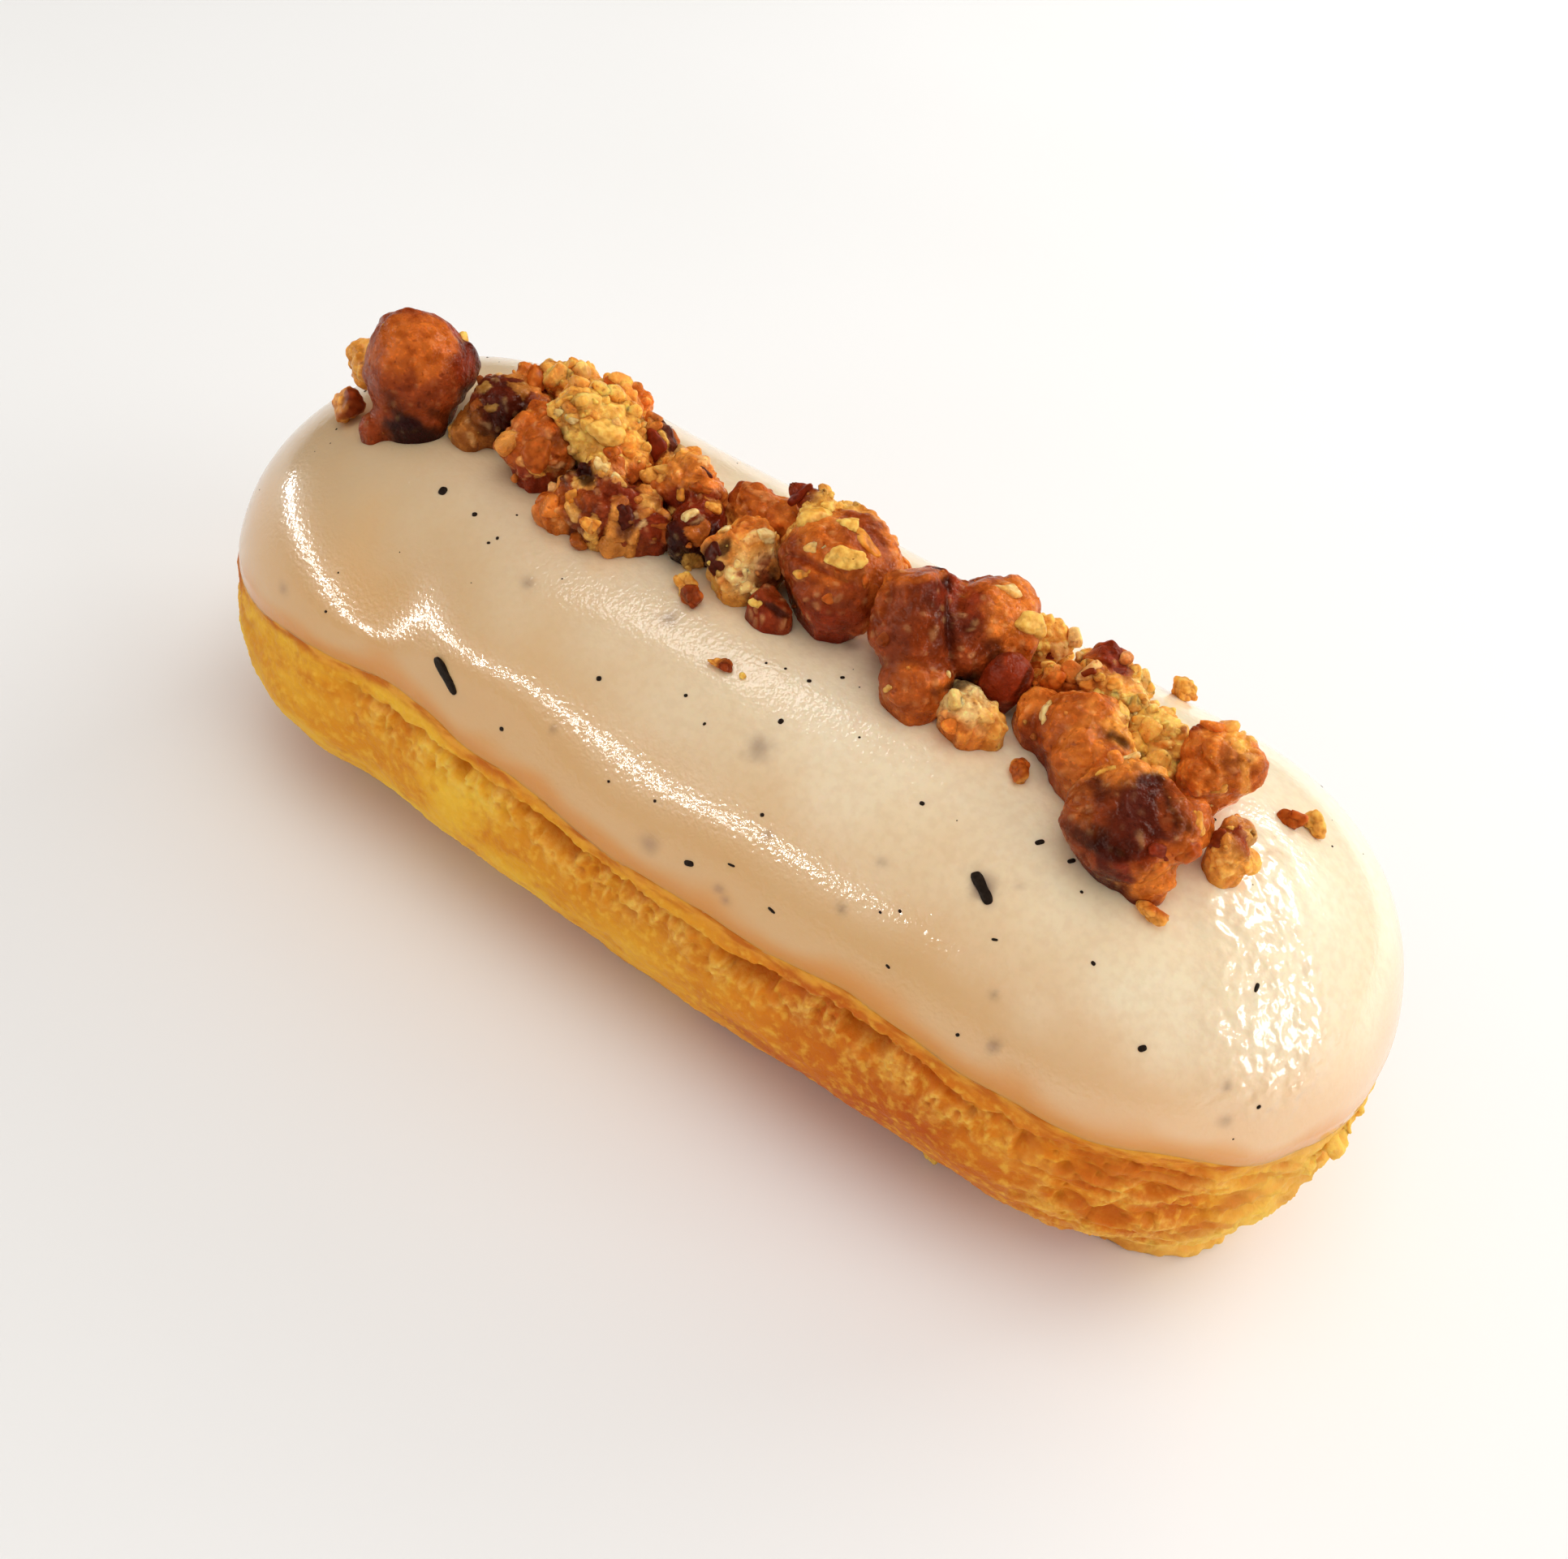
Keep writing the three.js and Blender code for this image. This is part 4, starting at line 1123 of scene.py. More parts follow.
def nut_colours(tint, crumbly, lift, crease, shade, value, grain):
    """A nut's colours with fresh breaks, sugar, and caramel and painted shade darkening creases and
    the foot.
    """
    fresh = FRESH[np.searchsorted(FRESH_SHARES, (7.3 * value) % 0.999)]
    share = 0.5 * (ease(0.45, 0.9, crumbly) * ease(0.66, 0.7, value))[:, None]
    tint = blend(tint, fresh, share) * shade[:, None]
    sugar = 0.42 * (np.minimum(1, 2.2 * crumbly) * grain * ease(0.3, 1.0, lift))[:, None]
    tint = blend(tint, 0.5 * tint + 0.5 * TONES["pale"], sugar)
    # Darker in creases and at the foot: caramel there, and painted shade.
    caramel_and_shade = np.maximum(0.42 * crumbly * crease, 0.6 * ease(1.1, 0.2, lift))
    return tint * (1 - caramel_and_shade[:, None] * (1 - CARAMEL_AND_SHADE))


def make_nut(name, number):
    roughness, _, _, anchors = NUT_LOOKS[name]
    smoothness = 1 - roughness
    mesh = remeshed(frame["nodes"][name], 5 + int(10 * smoothness), 0.3 + 0.25 * smoothness)
    points = mesh_points(mesh)
    normals = read(mesh.vertex_normals, "vector", 3)
    seed = 100 + 20 * number
    lift = points[:, 2] - crown_height(points[:, 0], points[:, 1])
    tint = nut_tint(points, anchors, seed)
    crumbly = np.minimum(1, roughness + 0.6 * crumb_share(tint))
    lump_size = 1.4 - 0.45 * roughness
    relief, *look = nut_surface(points, crumbly, lump_size, seed)
    standing = ease(0.2, 1.0, lift)
    moved = points + normals * (NUT_GROW + relief * standing)[:, None]
    moved[:, 2] -= NUT_FOOT_SINK * ease(1.0, 0.35, lift)
    move_points(mesh, moved)
    add_tint(mesh, nut_colours(tint, crumbly, lift, *look))
    slot = nut_slot(name)
    piece = place_piece(name.replace("nut_", "candied_"), mesh, NUT_MATERIALS[slot])
    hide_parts(name)
    return piece


# Dents, ridges and dark patches of the nuts in the photo; the dark tone at feet and in dents is
# painted shade over dark caramel. Each: pixel x and y, length, width, turn in the picture, how
# deep it goes in, its tone and how much of that tone.
NUT_MARKS = [
    (500, 530, 3.2, 1.1, -8, 0.0, "dark", 0.7),
    (463, 470, 3.2, 1.0, 80, 0.0, "brown", 0.6),
    (574, 458, 2.6, 1.0, -80, 0.0, "red", 0.7),
    (545, 515, 1.8, 0.7, -30, 0.15, "dark", 0.6),
    (622, 512, 2.6, 1.8, 20, 0.1, "dark", 0.5),
    (720, 582, 2.6, 1.0, -52, 0.5, "dark", 0.9),
    (690, 535, 1.6, 0.7, 70, 0.25, "dark", 0.5),
    (772, 618, 2.8, 0.8, -25, 0.25, "red", 0.6),
    (775, 648, 1.8, 1.2, 60, 0.1, "purple", 0.8),
    (818, 616, 1.0, 1.6, 80, 0.2, "red", 0.6),
    (874, 684, 2.2, 1.2, 55, 0.45, "dark", 0.95),
    (893, 674, 1.4, 0.5, 70, 0.3, "dark", 0.8),
    (952, 710, 0.9, 0.4, 70, 0.25, "dark", 0.6),
    (914, 707, 0.5, 0.4, 0, 0.05, "brown", 0.9),
    (957, 752, 2.0, 0.5, -30, 0.1, "dark", 0.8),
    (1080, 718, 3.6, 1.2, -82, 0.0, "amber", 0.5),
    (1010, 700, 3.4, 0.5, -30, 0.2, "red", 0.6),
    (1040, 772, 3.6, 1.3, 8, 0.0, "red", 0.7),
    (1098, 735, 3.4, 0.5, 80, 0.25, "brown", 0.7),
    (1164, 712, 2.0, 0.6, -65, 0.45, "dark", 0.8),
    (1167, 752, 2.6, 0.45, -88, 0.35, "dark", 0.6),
    (1171, 795, 2.0, 0.4, -80, 0.3, "purple", 0.7),
    (1146, 708, 3.0, 0.6, 18, -0.25, "amber", 0.7),
    (1210, 722, 2.4, 0.8, -30, -0.25, "amber", 0.6),
    (1183, 842, 3.0, 0.6, 22, 0.35, "dark", 0.8),
    (1117, 772, 3.0, 1.4, 70, 0.0, "purple", 0.4),
    (1110, 812, 1.8, 1.2, 80, 0.0, "purple", 0.3),
    (1121, 850, 2.4, 2.0, 30, 0.0, "brown", 0.5),
    (1240, 822, 2.0, 1.6, 0, -0.15, "red", 0.7),
    (1222, 800, 1.4, 1.2, 0, 0.0, "purple", 0.8),
    (1262, 840, 2.2, 0.4, 60, 0.1, "dark", 0.7),
    (1304, 886, 2.0, 1.2, 60, 0.0, "amber", 0.7),
    (1335, 915, 2.0, 1.6, -50, -0.15, "orange", 0.8),
    (1327, 948, 1.6, 1.2, 60, -0.1, "orange", 0.6),
    (1272, 892, 1.8, 1.0, 70, 0.2, "brown", 0.8),
    (1360, 905, 2.0, 0.5, -60, 0.25, "brown", 0.7),
    (1383, 914, 1.2, 0.6, -40, 0.5, "dark", 0.75),
    (1385, 945, 4.8, 0.9, 4, -0.3, "orange", 0.7),
    (1397, 1006, 3.0, 2.0, 65, 0.3, "purple", 0.85),
    (1418, 966, 1.8, 1.1, -25, 0.1, "purple", 0.8),
    (1344, 1030, 2.2, 1.4, -20, 0.1, "dark", 0.7),
    (1332, 984, 2.2, 1.2, 70, 0.0, "amber", 0.4),
    (1400, 1052, 1.8, 0.9, -10, 0.0, "dark", 0.5),
    (1372, 1052, 2.6, 0.7, -25, 0.0, "dark", 0.7),
    (1426, 1092, 2.6, 2.0, 0, -0.1, "orange", 0.9),
    (1458, 985, 2.8, 1.4, -75, -0.3, "brown", 0.6),
    (1437, 1010, 1.8, 0.7, -80, 0.1, "brown", 0.8),
    (1476, 930, 2.2, 1.3, -70, -0.1, "orange", 0.8),
    (1472, 896, 1.8, 0.6, 8, 0.0, "red", 0.8),
    (1519, 940, 1.7, 0.8, -55, 0.1, "red", 0.6),
    (1500, 992, 2.2, 0.6, 15, 0.2, "amber", 0.6),
    (1536, 965, 2.2, 0.5, -75, 0.0, "gold", 0.6),
]


def mark_nuts(nuts):
    """Presses the marks into the nuts and colours them, where the camera sees them."""
    trees = [piece_tree(piece) for piece in nuts.values()]
    surfaces = [mesh_points(piece.data) for piece in nuts.values()]
    colours = [point_tint(piece.data) for piece in nuts.values()]
    ahead = np.array(camera_axes()[2])
    for number, (px, py, length, width, turn, depth, tone, share) in enumerate(NUT_MARKS):
        hit = first_hit(trees, px, py)
        if hit is None:
            continue
        place = np.array(CAMERA_PLACE) + hit[3] * np.array(pixel_ray(px, py))
        turned = picture_line(turn)
        across = np.cross(turned, ahead)
        for points, colour in zip(surfaces, colours):
            offset = points - place
            close = np.flatnonzero(np.linalg.norm(offset, axis=1) < length + 1)
            offset = offset[close]
            ragged = 1 + 0.45 * noise(points[close], 0.7, 700 + number)
            reach = np.hypot(offset @ turned / length, offset @ across / width) * 2 * ragged
            weight = bell(0.95 * reach) * ease(2.6, 0.8, np.abs(offset @ ahead))
            points[close] += (depth * weight)[:, None] * ahead
            # The dark marks paint shade at the feet and in dents; the other tones are the nuts' own.
            tone_and_shade = np.clip(share * ease(0.15, 0.75, weight), 0, 1)[:, None]
            colour[close] = blend(colour[close], TONES[tone], tone_and_shade)
    for piece, points, colour in zip(nuts.values(), surfaces, colours):
        move_points(piece.data, points)
        piece.data.attributes.remove(piece.data.attributes["tint"])
        add_tint(piece.data, colour)
        piece.data.update()


def surface_places(piece, per_area, rng):
    """Random places on a piece's surface that stand clear of the glaze, and the colours there."""
    mesh = piece.data
    centres = read(mesh.polygons, "center", 3) / MM
    normals = read(mesh.polygons, "normal", 3)
    areas = read(mesh.polygons, "area") / MM ** 2
    lift = centres[:, 2] - crown_height(centres[:, 0], centres[:, 1])
    areas *= (lift > 0.15) * (normals[:, 2] > -0.6)
    areas *= 0.15 + 2 * ease(-0.1, 0.5, noise(centres, 1.7, 90)) * ease(-0.3, 0.7, normals[:, 2])
    corners = read(mesh.loops, "vertex_index", kind=np.int32)
    first_corners = read(mesh.polygons, "loop_start", kind=np.int32)
    colours = point_tint(mesh)[corners[first_corners]]
    areas *= 0.45 + 2.0 * crumb_share(colours)
    count = int(per_area * areas.sum())
    picked = rng.choice(len(areas), count, p=areas / areas.sum())
    return centres[picked], normals[picked], colours[picked]


# Kinds of bits that cover the nuts: smallest and largest size, fineness, and how sharp they are.
BITS = {"chunk": (0.5, 1.5, 3, 6), "grain": (0.14, 0.46, 2, 8)}
BIT_SHAPES = 9


def make_nut_bits(nuts):
    """Broken chunks and sugar grains that stick to the nut pieces."""
    rng = np.random.default_rng(SEEDS["nut_bits"])
    likely = np.array(list(FRESH_TONES.values()))
    for number, (kind, (smallest, largest, detail, edge)) in enumerate(BITS.items()):
        shapes, faces = broken_shapes(detail, BIT_SHAPES, rng, edge)
        for slot, material in NUT_MATERIALS.items():
            places, sizes, colours = [], [], []
            for name, piece in nuts.items():
                if nut_slot(name) != slot:
                    continue
                roughness, *per_area, _ = NUT_LOOKS[name]
                spots, normals, tint = surface_places(piece, per_area[number], rng)
                size = smallest + (largest - smallest) * rng.random(len(spots)) ** 2.2
                own = FRESH[rng.choice(len(FRESH), len(spots), p=likely / likely.sum())]
                share = rng.random((len(spots), 1)) ** 2 * (0.2 + 0.5 * roughness)
                bright = rng.uniform(0.85, 1.35, (len(spots), 1))
                places.append(spots - normals * (0.08 * size)[:, None])
                sizes.append(size)
                colours.append(blend(tint * bright, own, share))
            places, sizes, colours = (np.concatenate(v) for v in (places, sizes, colours))
            if not len(places):
                continue
            points, joined, tint = scatter(shapes, faces, places, sizes, colours, rng)
            tint = tint * (1 + 0.3 * noise(points, 0.6, 88))[:, None]
            make_piece(f"{kind}s_{slot}", points, joined, material, slot, tint=tint)


# Lumps that show on the nuts in the photo: pixel x and y, length, width, turn in the picture, tone.
STUCK_LUMPS = [
    (573, 419, 1.1, 0.8, 60, "yellow"),
    (598, 461, 1.3, 1.0, 20, "gold"),
    (655, 466, 1.8, 1.5, 80, "orange"),
    (690, 495, 1.2, 0.8, 10, "gold"),
    (712, 480, 1.5, 1.0, 0, "gold"),
    (756, 480, 1.6, 1.2, -20, "orange"),
    (735, 530, 2.6, 1.9, -20, "yellow"),
    (702, 518, 0.9, 0.7, 0, "pale"),
    (706, 557, 0.8, 0.7, 30, "pale"),
    (742, 576, 1.2, 0.9, -40, "pale"),
    (765, 592, 1.1, 0.6, -40, "pale"),
    (762, 556, 1.6, 1.2, -50, "orange"),
    (803, 545, 2.2, 1.7, -50, "red"),
    (790, 517, 0.7, 0.6, 0, "yellow"),
    (668, 560, 2.2, 1.9, 60, "amber"),
    (660, 582, 1.2, 0.7, -30, "gold"),
    (702, 612, 1.2, 0.9, 80, "gold"),
    (728, 647, 1.1, 0.8, -30, "gold"),
    (772, 634, 1.6, 1.2, 40, "purple"),
    (816, 648, 1.2, 0.9, 0, "amber"),
    (836, 612, 1.1, 0.8, 70, "gold"),
    (862, 600, 1.4, 0.8, -10, "amber"),
    (876, 622, 1.2, 0.9, 20, "gold"),
    (853, 632, 1.2, 0.8, 10, "pale"),
    (892, 653, 1.0, 0.8, 0, "pale"),
    (870, 580, 1.0, 0.3, -10, "purple"),
    (877, 687, 1.7, 1.2, 55, "purple"),
    (947, 663, 1.3, 1.0, 0, "pale"),
    (983, 609, 1.8, 0.9, 25, "red"),
    (999, 641, 2.5, 1.5, 62, "yellow"),
    (1020, 622, 1.1, 0.9, 40, "yellow"),
    (1045, 642, 1.6, 1.0, -20, "yellow"),
    (1068, 663, 2.2, 1.1, -48, "gold"),
    (1040, 683, 2.0, 1.2, -25, "yellow"),
    (999, 673, 1.0, 0.8, 0, "pale"),
    (1016, 673, 0.5, 0.4, 0, "pale"),
    (987, 706, 1.3, 0.7, 25, "gold"),
    (1037, 711, 1.1, 0.5, -20, "amber"),
    (1068, 712, 1.2, 0.7, -75, "amber"),
    (1021, 738, 1.2, 0.7, -10, "amber"),
    (932, 744, 0.85, 0.8, 0, "yellow"),
    (931, 728, 0.7, 0.6, 0, "pale"),
    (1096, 848, 0.7, 0.6, 0, "pale"),
    (1168, 831, 0.6, 0.5, 0, "pale"),
    (1188, 714, 0.8, 0.6, 0, "pale"),
    (1245, 728, 1.4, 0.9, -20, "pale"),
    (1272, 768, 1.9, 1.4, -20, "yellow"),
    (1293, 808, 1.0, 0.8, -20, "red"),
    (1301, 837, 1.3, 1.2, 0, "orange"),
    (1287, 875, 1.5, 0.9, 80, "pale"),
    (1322, 832, 0.9, 0.8, 0, "gold"),
    (1345, 829, 0.9, 0.6, 0, "brown"),
    (1353, 853, 1.0, 0.7, 60, "yellow"),
    (1373, 844, 1.0, 0.9, 0, "gold"),
    (1376, 825, 1.1, 0.5, 0, "red"),
    (1387, 878, 2.0, 0.9, 75, "yellow"),
    (1400, 833, 1.1, 1.0, 0, "yellow"),
    (1406, 884, 1.0, 0.8, 0, "yellow"),
    (1430, 908, 1.8, 1.3, -30, "yellow"),
    (1389, 935, 1.1, 0.5, 0, "pale"),
    (1366, 946, 1.2, 0.6, 10, "gold"),
    (1470, 890, 1.4, 0.5, 0, "red"),
    (1501, 976, 1.2, 0.6, 20, "gold"),
    (1477, 1016, 1.3, 0.8, 70, "gold"),
    (1433, 1048, 1.4, 1.0, 0, "red"),
    (1465, 1050, 1.4, 1.2, 20, "amber"),
    (1421, 1078, 2.1, 1.6, 0, "orange"),
    (1500, 1030, 1.2, 1.1, 0, "brown"),
]


def gritty(points, depth, seed):
    """How far the grit of a crumb stands out, how far it is a crease, and each grain's random
    number."""
    near, second, value = cells(points, 0.5, seed)
    grit = depth * ease(0.7, 0.1, near) + depth * (value - 0.5) - depth / 2
    return grit, ease(0.2, 0.0, second - near), value


def make_stuck_lumps(nuts):
    """The lumps that show on the nuts, each where the camera sees it."""
    fine, coarse = (
        broken_shapes(detail, len(STUCK_LUMPS), np.random.default_rng(SEEDS["stuck_lumps"]), 5)
        for detail in (4, 3)
    )
    trees = [piece_tree(piece) for piece in nuts.values()]
    heap = Heap()
    for number, (px, py, length, width, turn, tone) in enumerate(STUCK_LUMPS):
        hit = first_hit(trees, px, py)
        if hit is None:
            continue
        place, normal, _, _ = hit
        along = Vector(picture_line(turn))
        along = (along - 0.8 * along.dot(normal) * normal).normalized()
        out = (normal - normal.dot(along) * along).normalized()
        axes = np.array([along * length, out.cross(along) * width, out * 0.85 * width]) / 2
        shapes, faces = fine if length > SMALL_LUMP else coarse
        lump = 0.97 * shapes[number] @ axes + np.array(place - 0.18 * width * out)
        grit, crease, value = gritty(lump, 0.1, 500 + number)
        lump += (shapes[number] @ axes) * (grit / (0.3 * (length + width)))[:, None]
        # Random tone for each grain, darker in its creases as painted shade.
        shade = 0.8 + 0.34 * value - 0.2 * crease
        blotch = ease(0.1, 0.5, noise(lump, 0.9, 560 + number))[:, None]
        colour = TONES[tone] * shade[:, None]
        heap.add(lump, faces, colour * (1 - blotch * (1 - np.array([0.85, 0.66, 0.42]))))
    tint = np.concatenate(heap.values)
    make_piece("stuck_lumps", *heap.joined(), GRAIN_MATERIAL, "nut_pale", tint=tint)


# Crumbs that lie apart on the glaze: x, y, size across X, Y and Z, and their tones.
LOOSE_CRUMBS = [
    (-30.7, -5.4, 2.2, 1.9, 2.2, ("gold", "brown")),
    (-25.2, 1.4, 1.7, 1.6, 1.9, ("pale", "amber")),
    (-5.5, -5.2, 1.2, 1.1, 1.2, ("yellow", "gold")),
    (-4.5, -5.7, 1.4, 1.2, 1.3, ("brown", "amber")),
    (-0.8, -8.1, 1.2, 0.9, 0.8, ("gold", "brown")),
    (0.6, -7.9, 0.5, 0.4, 0.3, ("yellow", "yellow")),
    (12.9, 2.2, 1.3, 1.2, 1.4, ("amber", "brown")),
    (15.6, -4.6, 1.2, 1.5, 1.2, ("gold", "amber")),
    (19.1, 10.3, 1.5, 1.3, 1.4, ("gold", "yellow")),
    (25.0, -8.0, 1.5, 1.3, 1.4, ("gold", "orange")),
    (29.1, 3.7, 1.7, 1.5, 1.2, ("yellow", "gold")),
    (28.1, 2.9, 1.3, 1.1, 1.2, ("amber", "brown")),
]


def make_loose_crumbs():
    rng = np.random.default_rng(SEEDS["loose_crumbs"])
    shapes, faces = broken_shapes(4, len(LOOSE_CRUMBS), rng, 5)
    heap = Heap()
    for number, (x, y, *size, tones) in enumerate(LOOSE_CRUMBS):
        shape = shapes[number] * np.array(size) / 2
        lump = shape + np.array([x, y, crown_height(x, y) + 0.32 * size[2]])
        grit, crease, value = gritty(lump, 0.12, 300 + number)
        out = shape / np.linalg.norm(shape, axis=1, keepdims=True)
        lump = lump + out * grit[:, None]
        share = ease(-0.2, 0.4, noise(lump, 0.9, 320 + number))[:, None]
        colour = blend(TONES[tones[0]], TONES[tones[1]], share)
        # Darker in the creases between grains: caramel there, and painted shade.
        crease_caramel_and_shade = crease[:, None] * (1 - CARAMEL_AND_SHADE) * 0.6
        heap.add(lump, faces, colour * (0.82 + 0.3 * value)[:, None] * (1 - crease_caramel_and_shade))
    tint = np.concatenate(heap.values)
    make_piece("loose_crumbs", *heap.joined(), GRAIN_MATERIAL, "nut_pale", tint=tint)


# Black bits of vanilla pod in the glaze: pixel x and y, length, width and turn in the picture.
POD_BITS = [
    (549, 833, 2.2, 0.62, -62),
    (1211, 1096, 1.7, 0.6, -65),
    (849, 1064, 0.55, 0.3, 0),
    (545, 605, 0.6, 0.5, 70),
    (585, 634, 0.32, 0.3, 0),
    (738, 836, 0.3, 0.28, 0),
    (618, 898, 0.33, 0.3, 0),
    (1408, 1292, 0.42, 0.3, 20),
    (1136, 990, 0.3, 0.25, -30),
    (1201, 917, 0.24, 0.22, 0),
    (962, 889, 0.28, 0.24, 50),
    (1038, 835, 0.32, 0.24, 10),
    (997, 839, 0.24, 0.2, 0),
    (939, 1004, 0.24, 0.22, 0),
    (807, 987, 0.22, 0.2, 0),
    (1347, 1187, 0.24, 0.18, -50),
    (1548, 1218, 0.5, 0.22, 60),
    (951, 1122, 0.45, 0.16, -35),
    (901, 1066, 0.4, 0.12, -15),
    (1226, 1158, 0.35, 0.16, -10),
    (1094, 1191, 0.3, 0.16, -40),
    (1551, 1364, 0.26, 0.2, 30),
    (845, 857, 0.2, 0.18, 0),
    (868, 892, 0.2, 0.16, 40),
    (968, 824, 0.16, 0.14, 0),
    (944, 817, 0.16, 0.14, 0),
    (1114, 881, 0.26, 0.2, 0),
    (1281, 1038, 0.5, 0.28, 20),
    (1320, 1061, 0.42, 0.24, 20),
    (750, 963, 0.18, 0.16, 0),
]
RANDOM_SPECKS = 70
SPECK_LENGTH = 0.08
SPECK_LENGTH_SPREAD = 0.15
POD_BLUNTNESS = 2.8


def make_pod_bits(glaze):
    rng = np.random.default_rng(SEEDS["specks"])
    tree = piece_tree(glaze)
    rows = [(first_hit([tree], px, py), *form) for px, py, *form in POD_BITS]
    for _ in range(RANDOM_SPECKS):
        x = rng.uniform(-LENGTH / 2 + 1, LENGTH / 2 - 1)
        y = rng.uniform(-HALF + 0.4, HALF - 0.4)
        hit = tree.ray_cast(Vector((x, y, 2 * HEIGHT)), Vector((0, 0, -1)))
        length = SPECK_LENGTH + SPECK_LENGTH_SPREAD * rng.random() ** 3
        if hit[0] is not None and hit[0].z > RIM_HEIGHT + 1:
            rows.append((hit, length, 0.8 * length, rng.uniform(0, 180)))
    heap = Heap()
    for number, ((place, normal, _, _), length, width, turn) in enumerate(rows):
        right = Vector(picture_line(turn))
        right = (right - right.dot(normal) * normal).normalized()
        axes = np.array([right * length, normal.cross(right) * width, normal * 0.5 * width]) / 2
        round_ball, faces = ball(3 if length > SMALL_SPECK else 2)
        power = np.sum(np.abs(round_ball) ** POD_BLUNTNESS, axis=1, keepdims=True)
        lump = round_ball / power ** (1 / POD_BLUNTNESS) @ axes
        lump *= (1 + 0.25 * noise(lump + 3 * number, 0.6, 21))[:, None]
        heap.add(lump + np.array(place), faces)
    make_piece("vanilla_specks", *heap.joined(), pod_material(), "glaze")


# Torn scraps of choux that stand out at the right end and at the base: x, y, z and size in mm.
SCRAPS = [
    (37.8, -4.3, 12.6, 1.7),
    (36.9, -5.9, 11.9, 1.7),
    (38.0, -3.0, 13.1, 1.4),
    (38.2, -1.8, 13.4, 0.9),
    (36.2, -7.2, 11.4, 1.1),
    (38.4, -3.9, 12.2, 0.8),
    (20.4, -10.6, 1.1, 1.1),
]


def make_scraps():
    rng = np.random.default_rng(SEEDS["scraps"])
    shapes, faces = broken_shapes(4, len(SCRAPS), rng)
    heap = Heap()
    for number, (x, y, z, size) in enumerate(SCRAPS):
        shape = shapes[number] * size / 2
        near, second, value = cells(shape + [x, y, z], 0.6, 400 + number)
        out = shape / np.linalg.norm(shape, axis=1, keepdims=True)
        torn = 0.3 * (value - 0.5) - 0.12 * ease(0.2, 0.0, second - near)
        heap.add(shape + out * torn[:, None] + [x, y, z], faces, 0.35 + 0.5 * value)
    crumb = np.concatenate(heap.values)
    masks = {"crumb": crumb, "baked": 0 * crumb + 0.3, "bare_end": 0 * crumb + 0.5}
    material = bpy.data.materials["choux_skin"]
    make_piece("torn_scraps", *heap.joined(), material, "choux", masks)


# Light, floor and camera.

FLOOR_REACH = 1500.0

# The nearest and farthest that the camera sees, in metres.
CAMERA_RANGE = (0.005, 20)

# The colour and strength of the light from all round.
ROOM_LIGHT = (1.0, 0.985, 0.975, 1)
ROOM_STRENGTH = 0.6

# Each light: the direction it stands in as azimuth and elevation, its tilt, its distance and
# two sizes in millimetres, its power in watts, its colour, and whether it lights or only gleams.
LIGHTS = {
    "window": (160, 24, 0, 450, 360, 240, 0.95, (1.0, 0.99, 0.98), "diffuse"),
    "right_window": (96, 26, 0, 450, 320, 240, 0.5, (1.0, 0.99, 0.98), "diffuse"),
    "ceiling": (20, 82, 0, 450, 360, 360, 0.68, (1.0, 0.99, 0.98), "diffuse"),
    "right_gleam": (98, 24, 0, 420, 110, 220, 0.8, (1.0, 0.99, 0.97), "gloss"),
    "back_gleam": (152, 44, 0, 420, 220, 120, 1.1, (1.0, 0.99, 0.97), "gloss"),
    "near_left_strip": (-24, 21, 28, 420, 160, 20, 0.27, (1.0, 0.98, 0.95), "gloss"),
    "left_strip": (-62, 13, 12, 420, 480, 24, 0.74, (1.0, 0.98, 0.95), "gloss"),
    "high_sheen": (-105, 68, 0, 420, 130, 40, 0.1, (1.0, 0.99, 0.97), "gloss"),
}


def direction(azimuth, elevation):
    """Azimuth 0 points to -Y and 90 to +X."""
    a, e = math.radians(azimuth), math.radians(elevation)
    return Vector((math.sin(a) * math.cos(e), -math.cos(a) * math.cos(e), math.sin(e)))


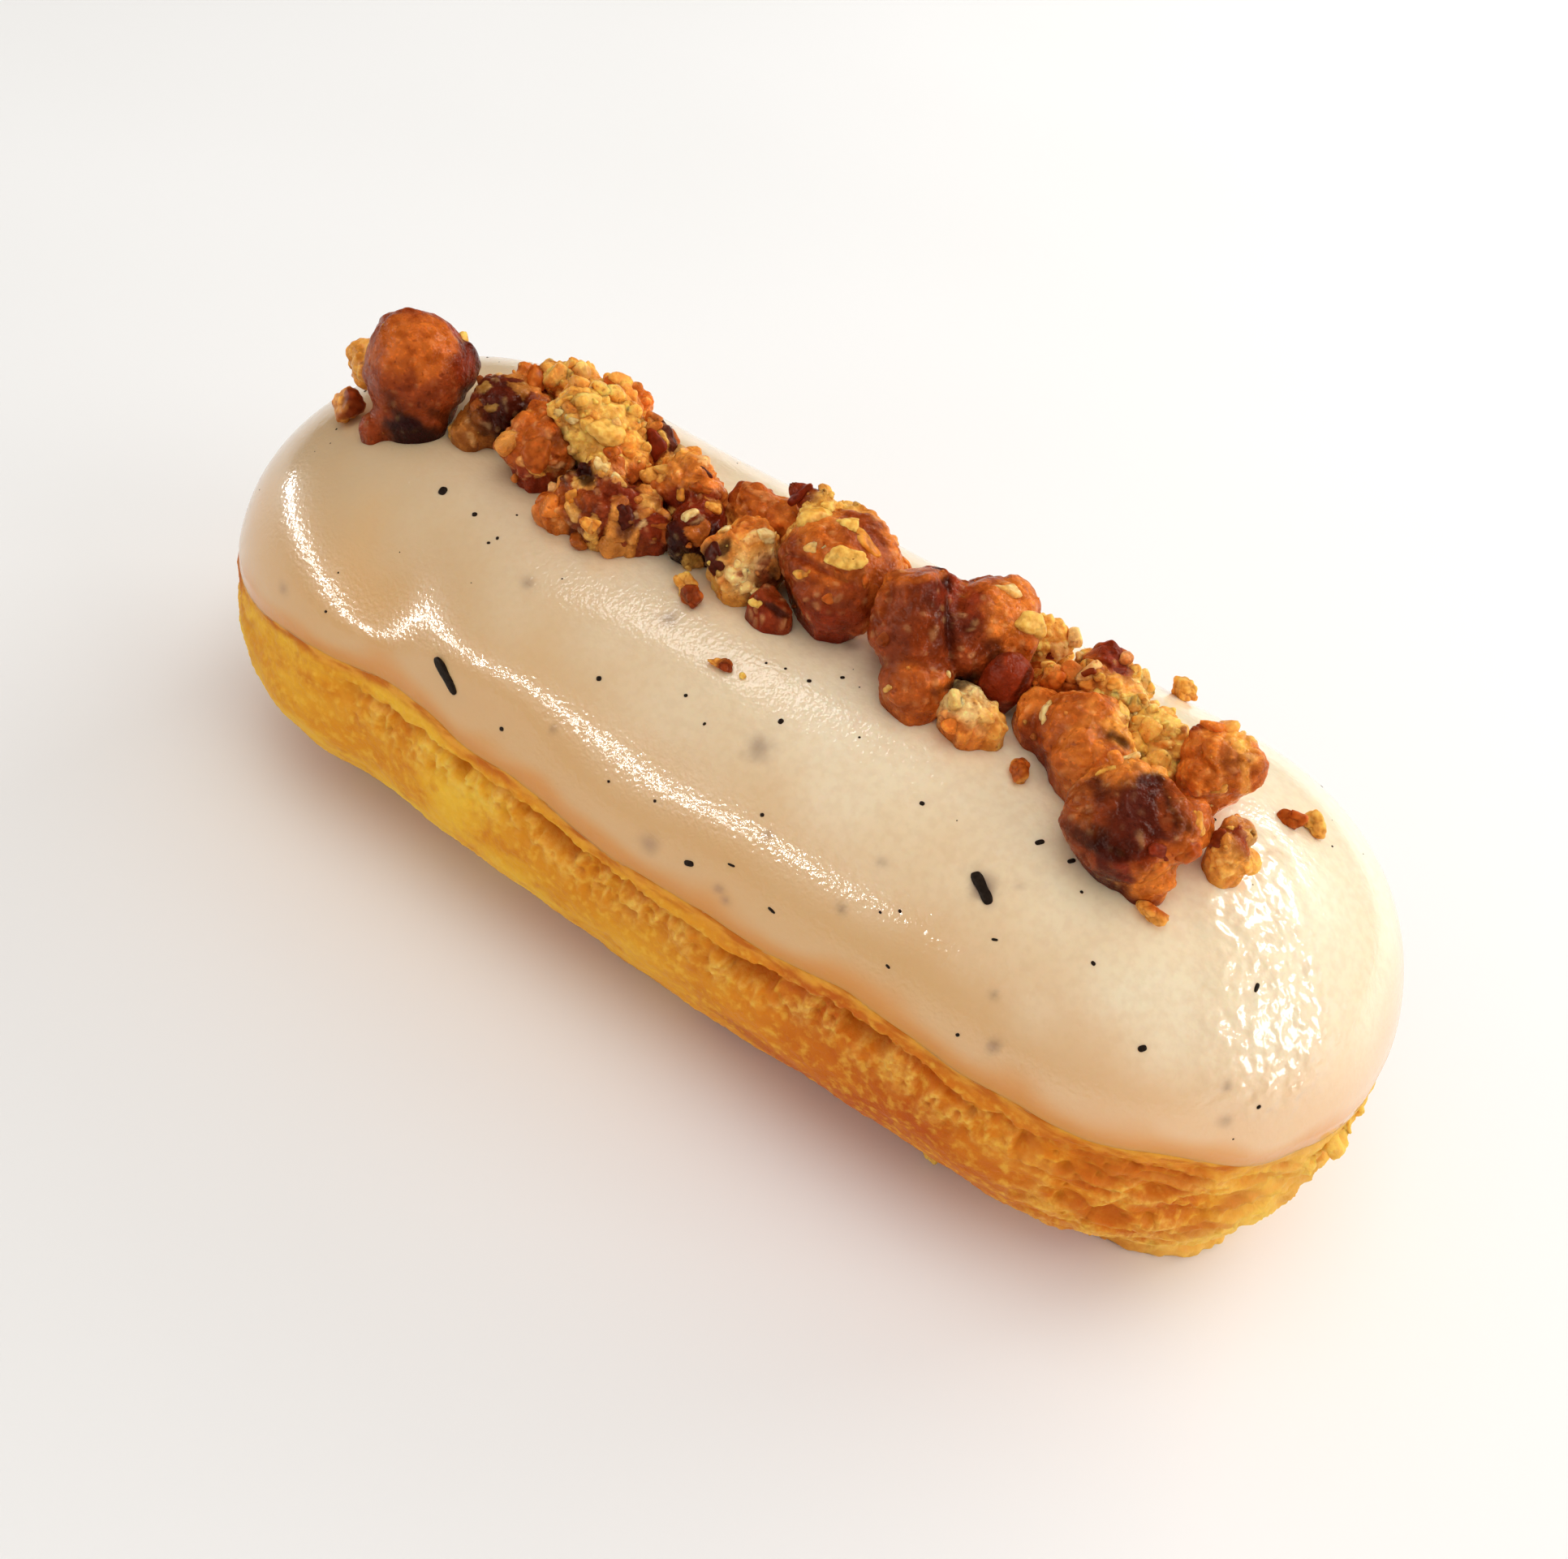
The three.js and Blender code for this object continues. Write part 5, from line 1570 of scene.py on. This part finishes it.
def make_lights():
    aim = Vector((0, 0, HEIGHT / 2 * MM))
    for name, row in LIGHTS.items():
        azimuth, elevation, tilt, distance, wide, high, power, colour, kind = row
        lamp = bpy.data.lights.new(name, "AREA")
        lamp.shape = "RECTANGLE"
        lamp.size = wide * MM
        lamp.size_y = high * MM
        lamp.energy = power
        lamp.color = colour
        holder = add_object(name, lamp)
        away = direction(azimuth, elevation)
        holder.location = aim + distance * MM * away
        tilted = away.to_track_quat("Z", "Y") @ Quaternion((0, 0, 1), math.radians(tilt))
        holder.rotation_euler = tilted.to_euler()
        holder.visible_glossy = kind == "gloss"
        holder.visible_diffuse = kind == "diffuse"


def make_room():
    """Soft light from all round, which nothing mirrors."""
    world = bpy.data.worlds.new("soft_room")
    world.use_nodes = True
    background = world.node_tree.nodes["Background"]
    background.inputs["Color"].default_value = ROOM_LIGHT
    background.inputs["Strength"].default_value = ROOM_STRENGTH
    bpy.context.scene.world = world
    world.cycles_visibility.glossy = False


def make_floor():
    material, tree, shader = new_material("pale_floor")
    cloud = object_noise(tree, 60.0, 1.0)
    colour = mix(tree, cloud, srgb(236, 235, 232), srgb(242, 241, 239))
    set_shader(shader, Base_Color=colour, Roughness=0.6, Specular_IOR_Level=0.0)
    reach = FLOOR_REACH * MM
    mesh = bpy.data.meshes.new("floor")
    corners = [(-reach, -reach, 0), (reach, -reach, 0), (reach, reach, 0), (-reach, reach, 0)]
    mesh.from_pydata(corners, [], [(0, 1, 2, 3)])
    mesh.materials.append(material)
    add_object("floor", mesh)


def make_camera():
    camera = bpy.data.cameras.new("camera")
    camera.sensor_width = SENSOR_WIDTH
    camera.lens = CAMERA_LENS
    camera.clip_start, camera.clip_end = CAMERA_RANGE
    holder = add_object("camera", camera)
    right, up, ahead = camera_axes()
    turn = Matrix((right, up, -ahead)).transposed().to_4x4()
    holder.matrix_world = Matrix.Translation(Vector(CAMERA_PLACE) * MM) @ turn
    bpy.context.scene.camera = holder


NUT_MATERIALS = {
    "caramel_brown": nut_material("caramel_brown", 0.26, 0.05, 0.35),
    "caramel_amber": nut_material("caramel_amber", 0.26, 0.05, 0.5),
    "nut_pale": nut_material("nut_pale", 0.35, 0.0, 0.75),
}
GRAIN_MATERIAL = grain_material("crumb_grain", 0.35, 0.7)

make_camera()
make_lights()
make_room()
make_floor()
make_choux()
make_scraps()
make_pod_bits(make_glaze())
nuts = {name: make_nut(name, number) for number, name in enumerate(NUT_LOOKS)}
mark_nuts(nuts)
make_nut_bits(nuts)
make_stuck_lumps(nuts)
make_loose_crumbs()

bpy.context.scene.view_settings.view_transform = "Standard"
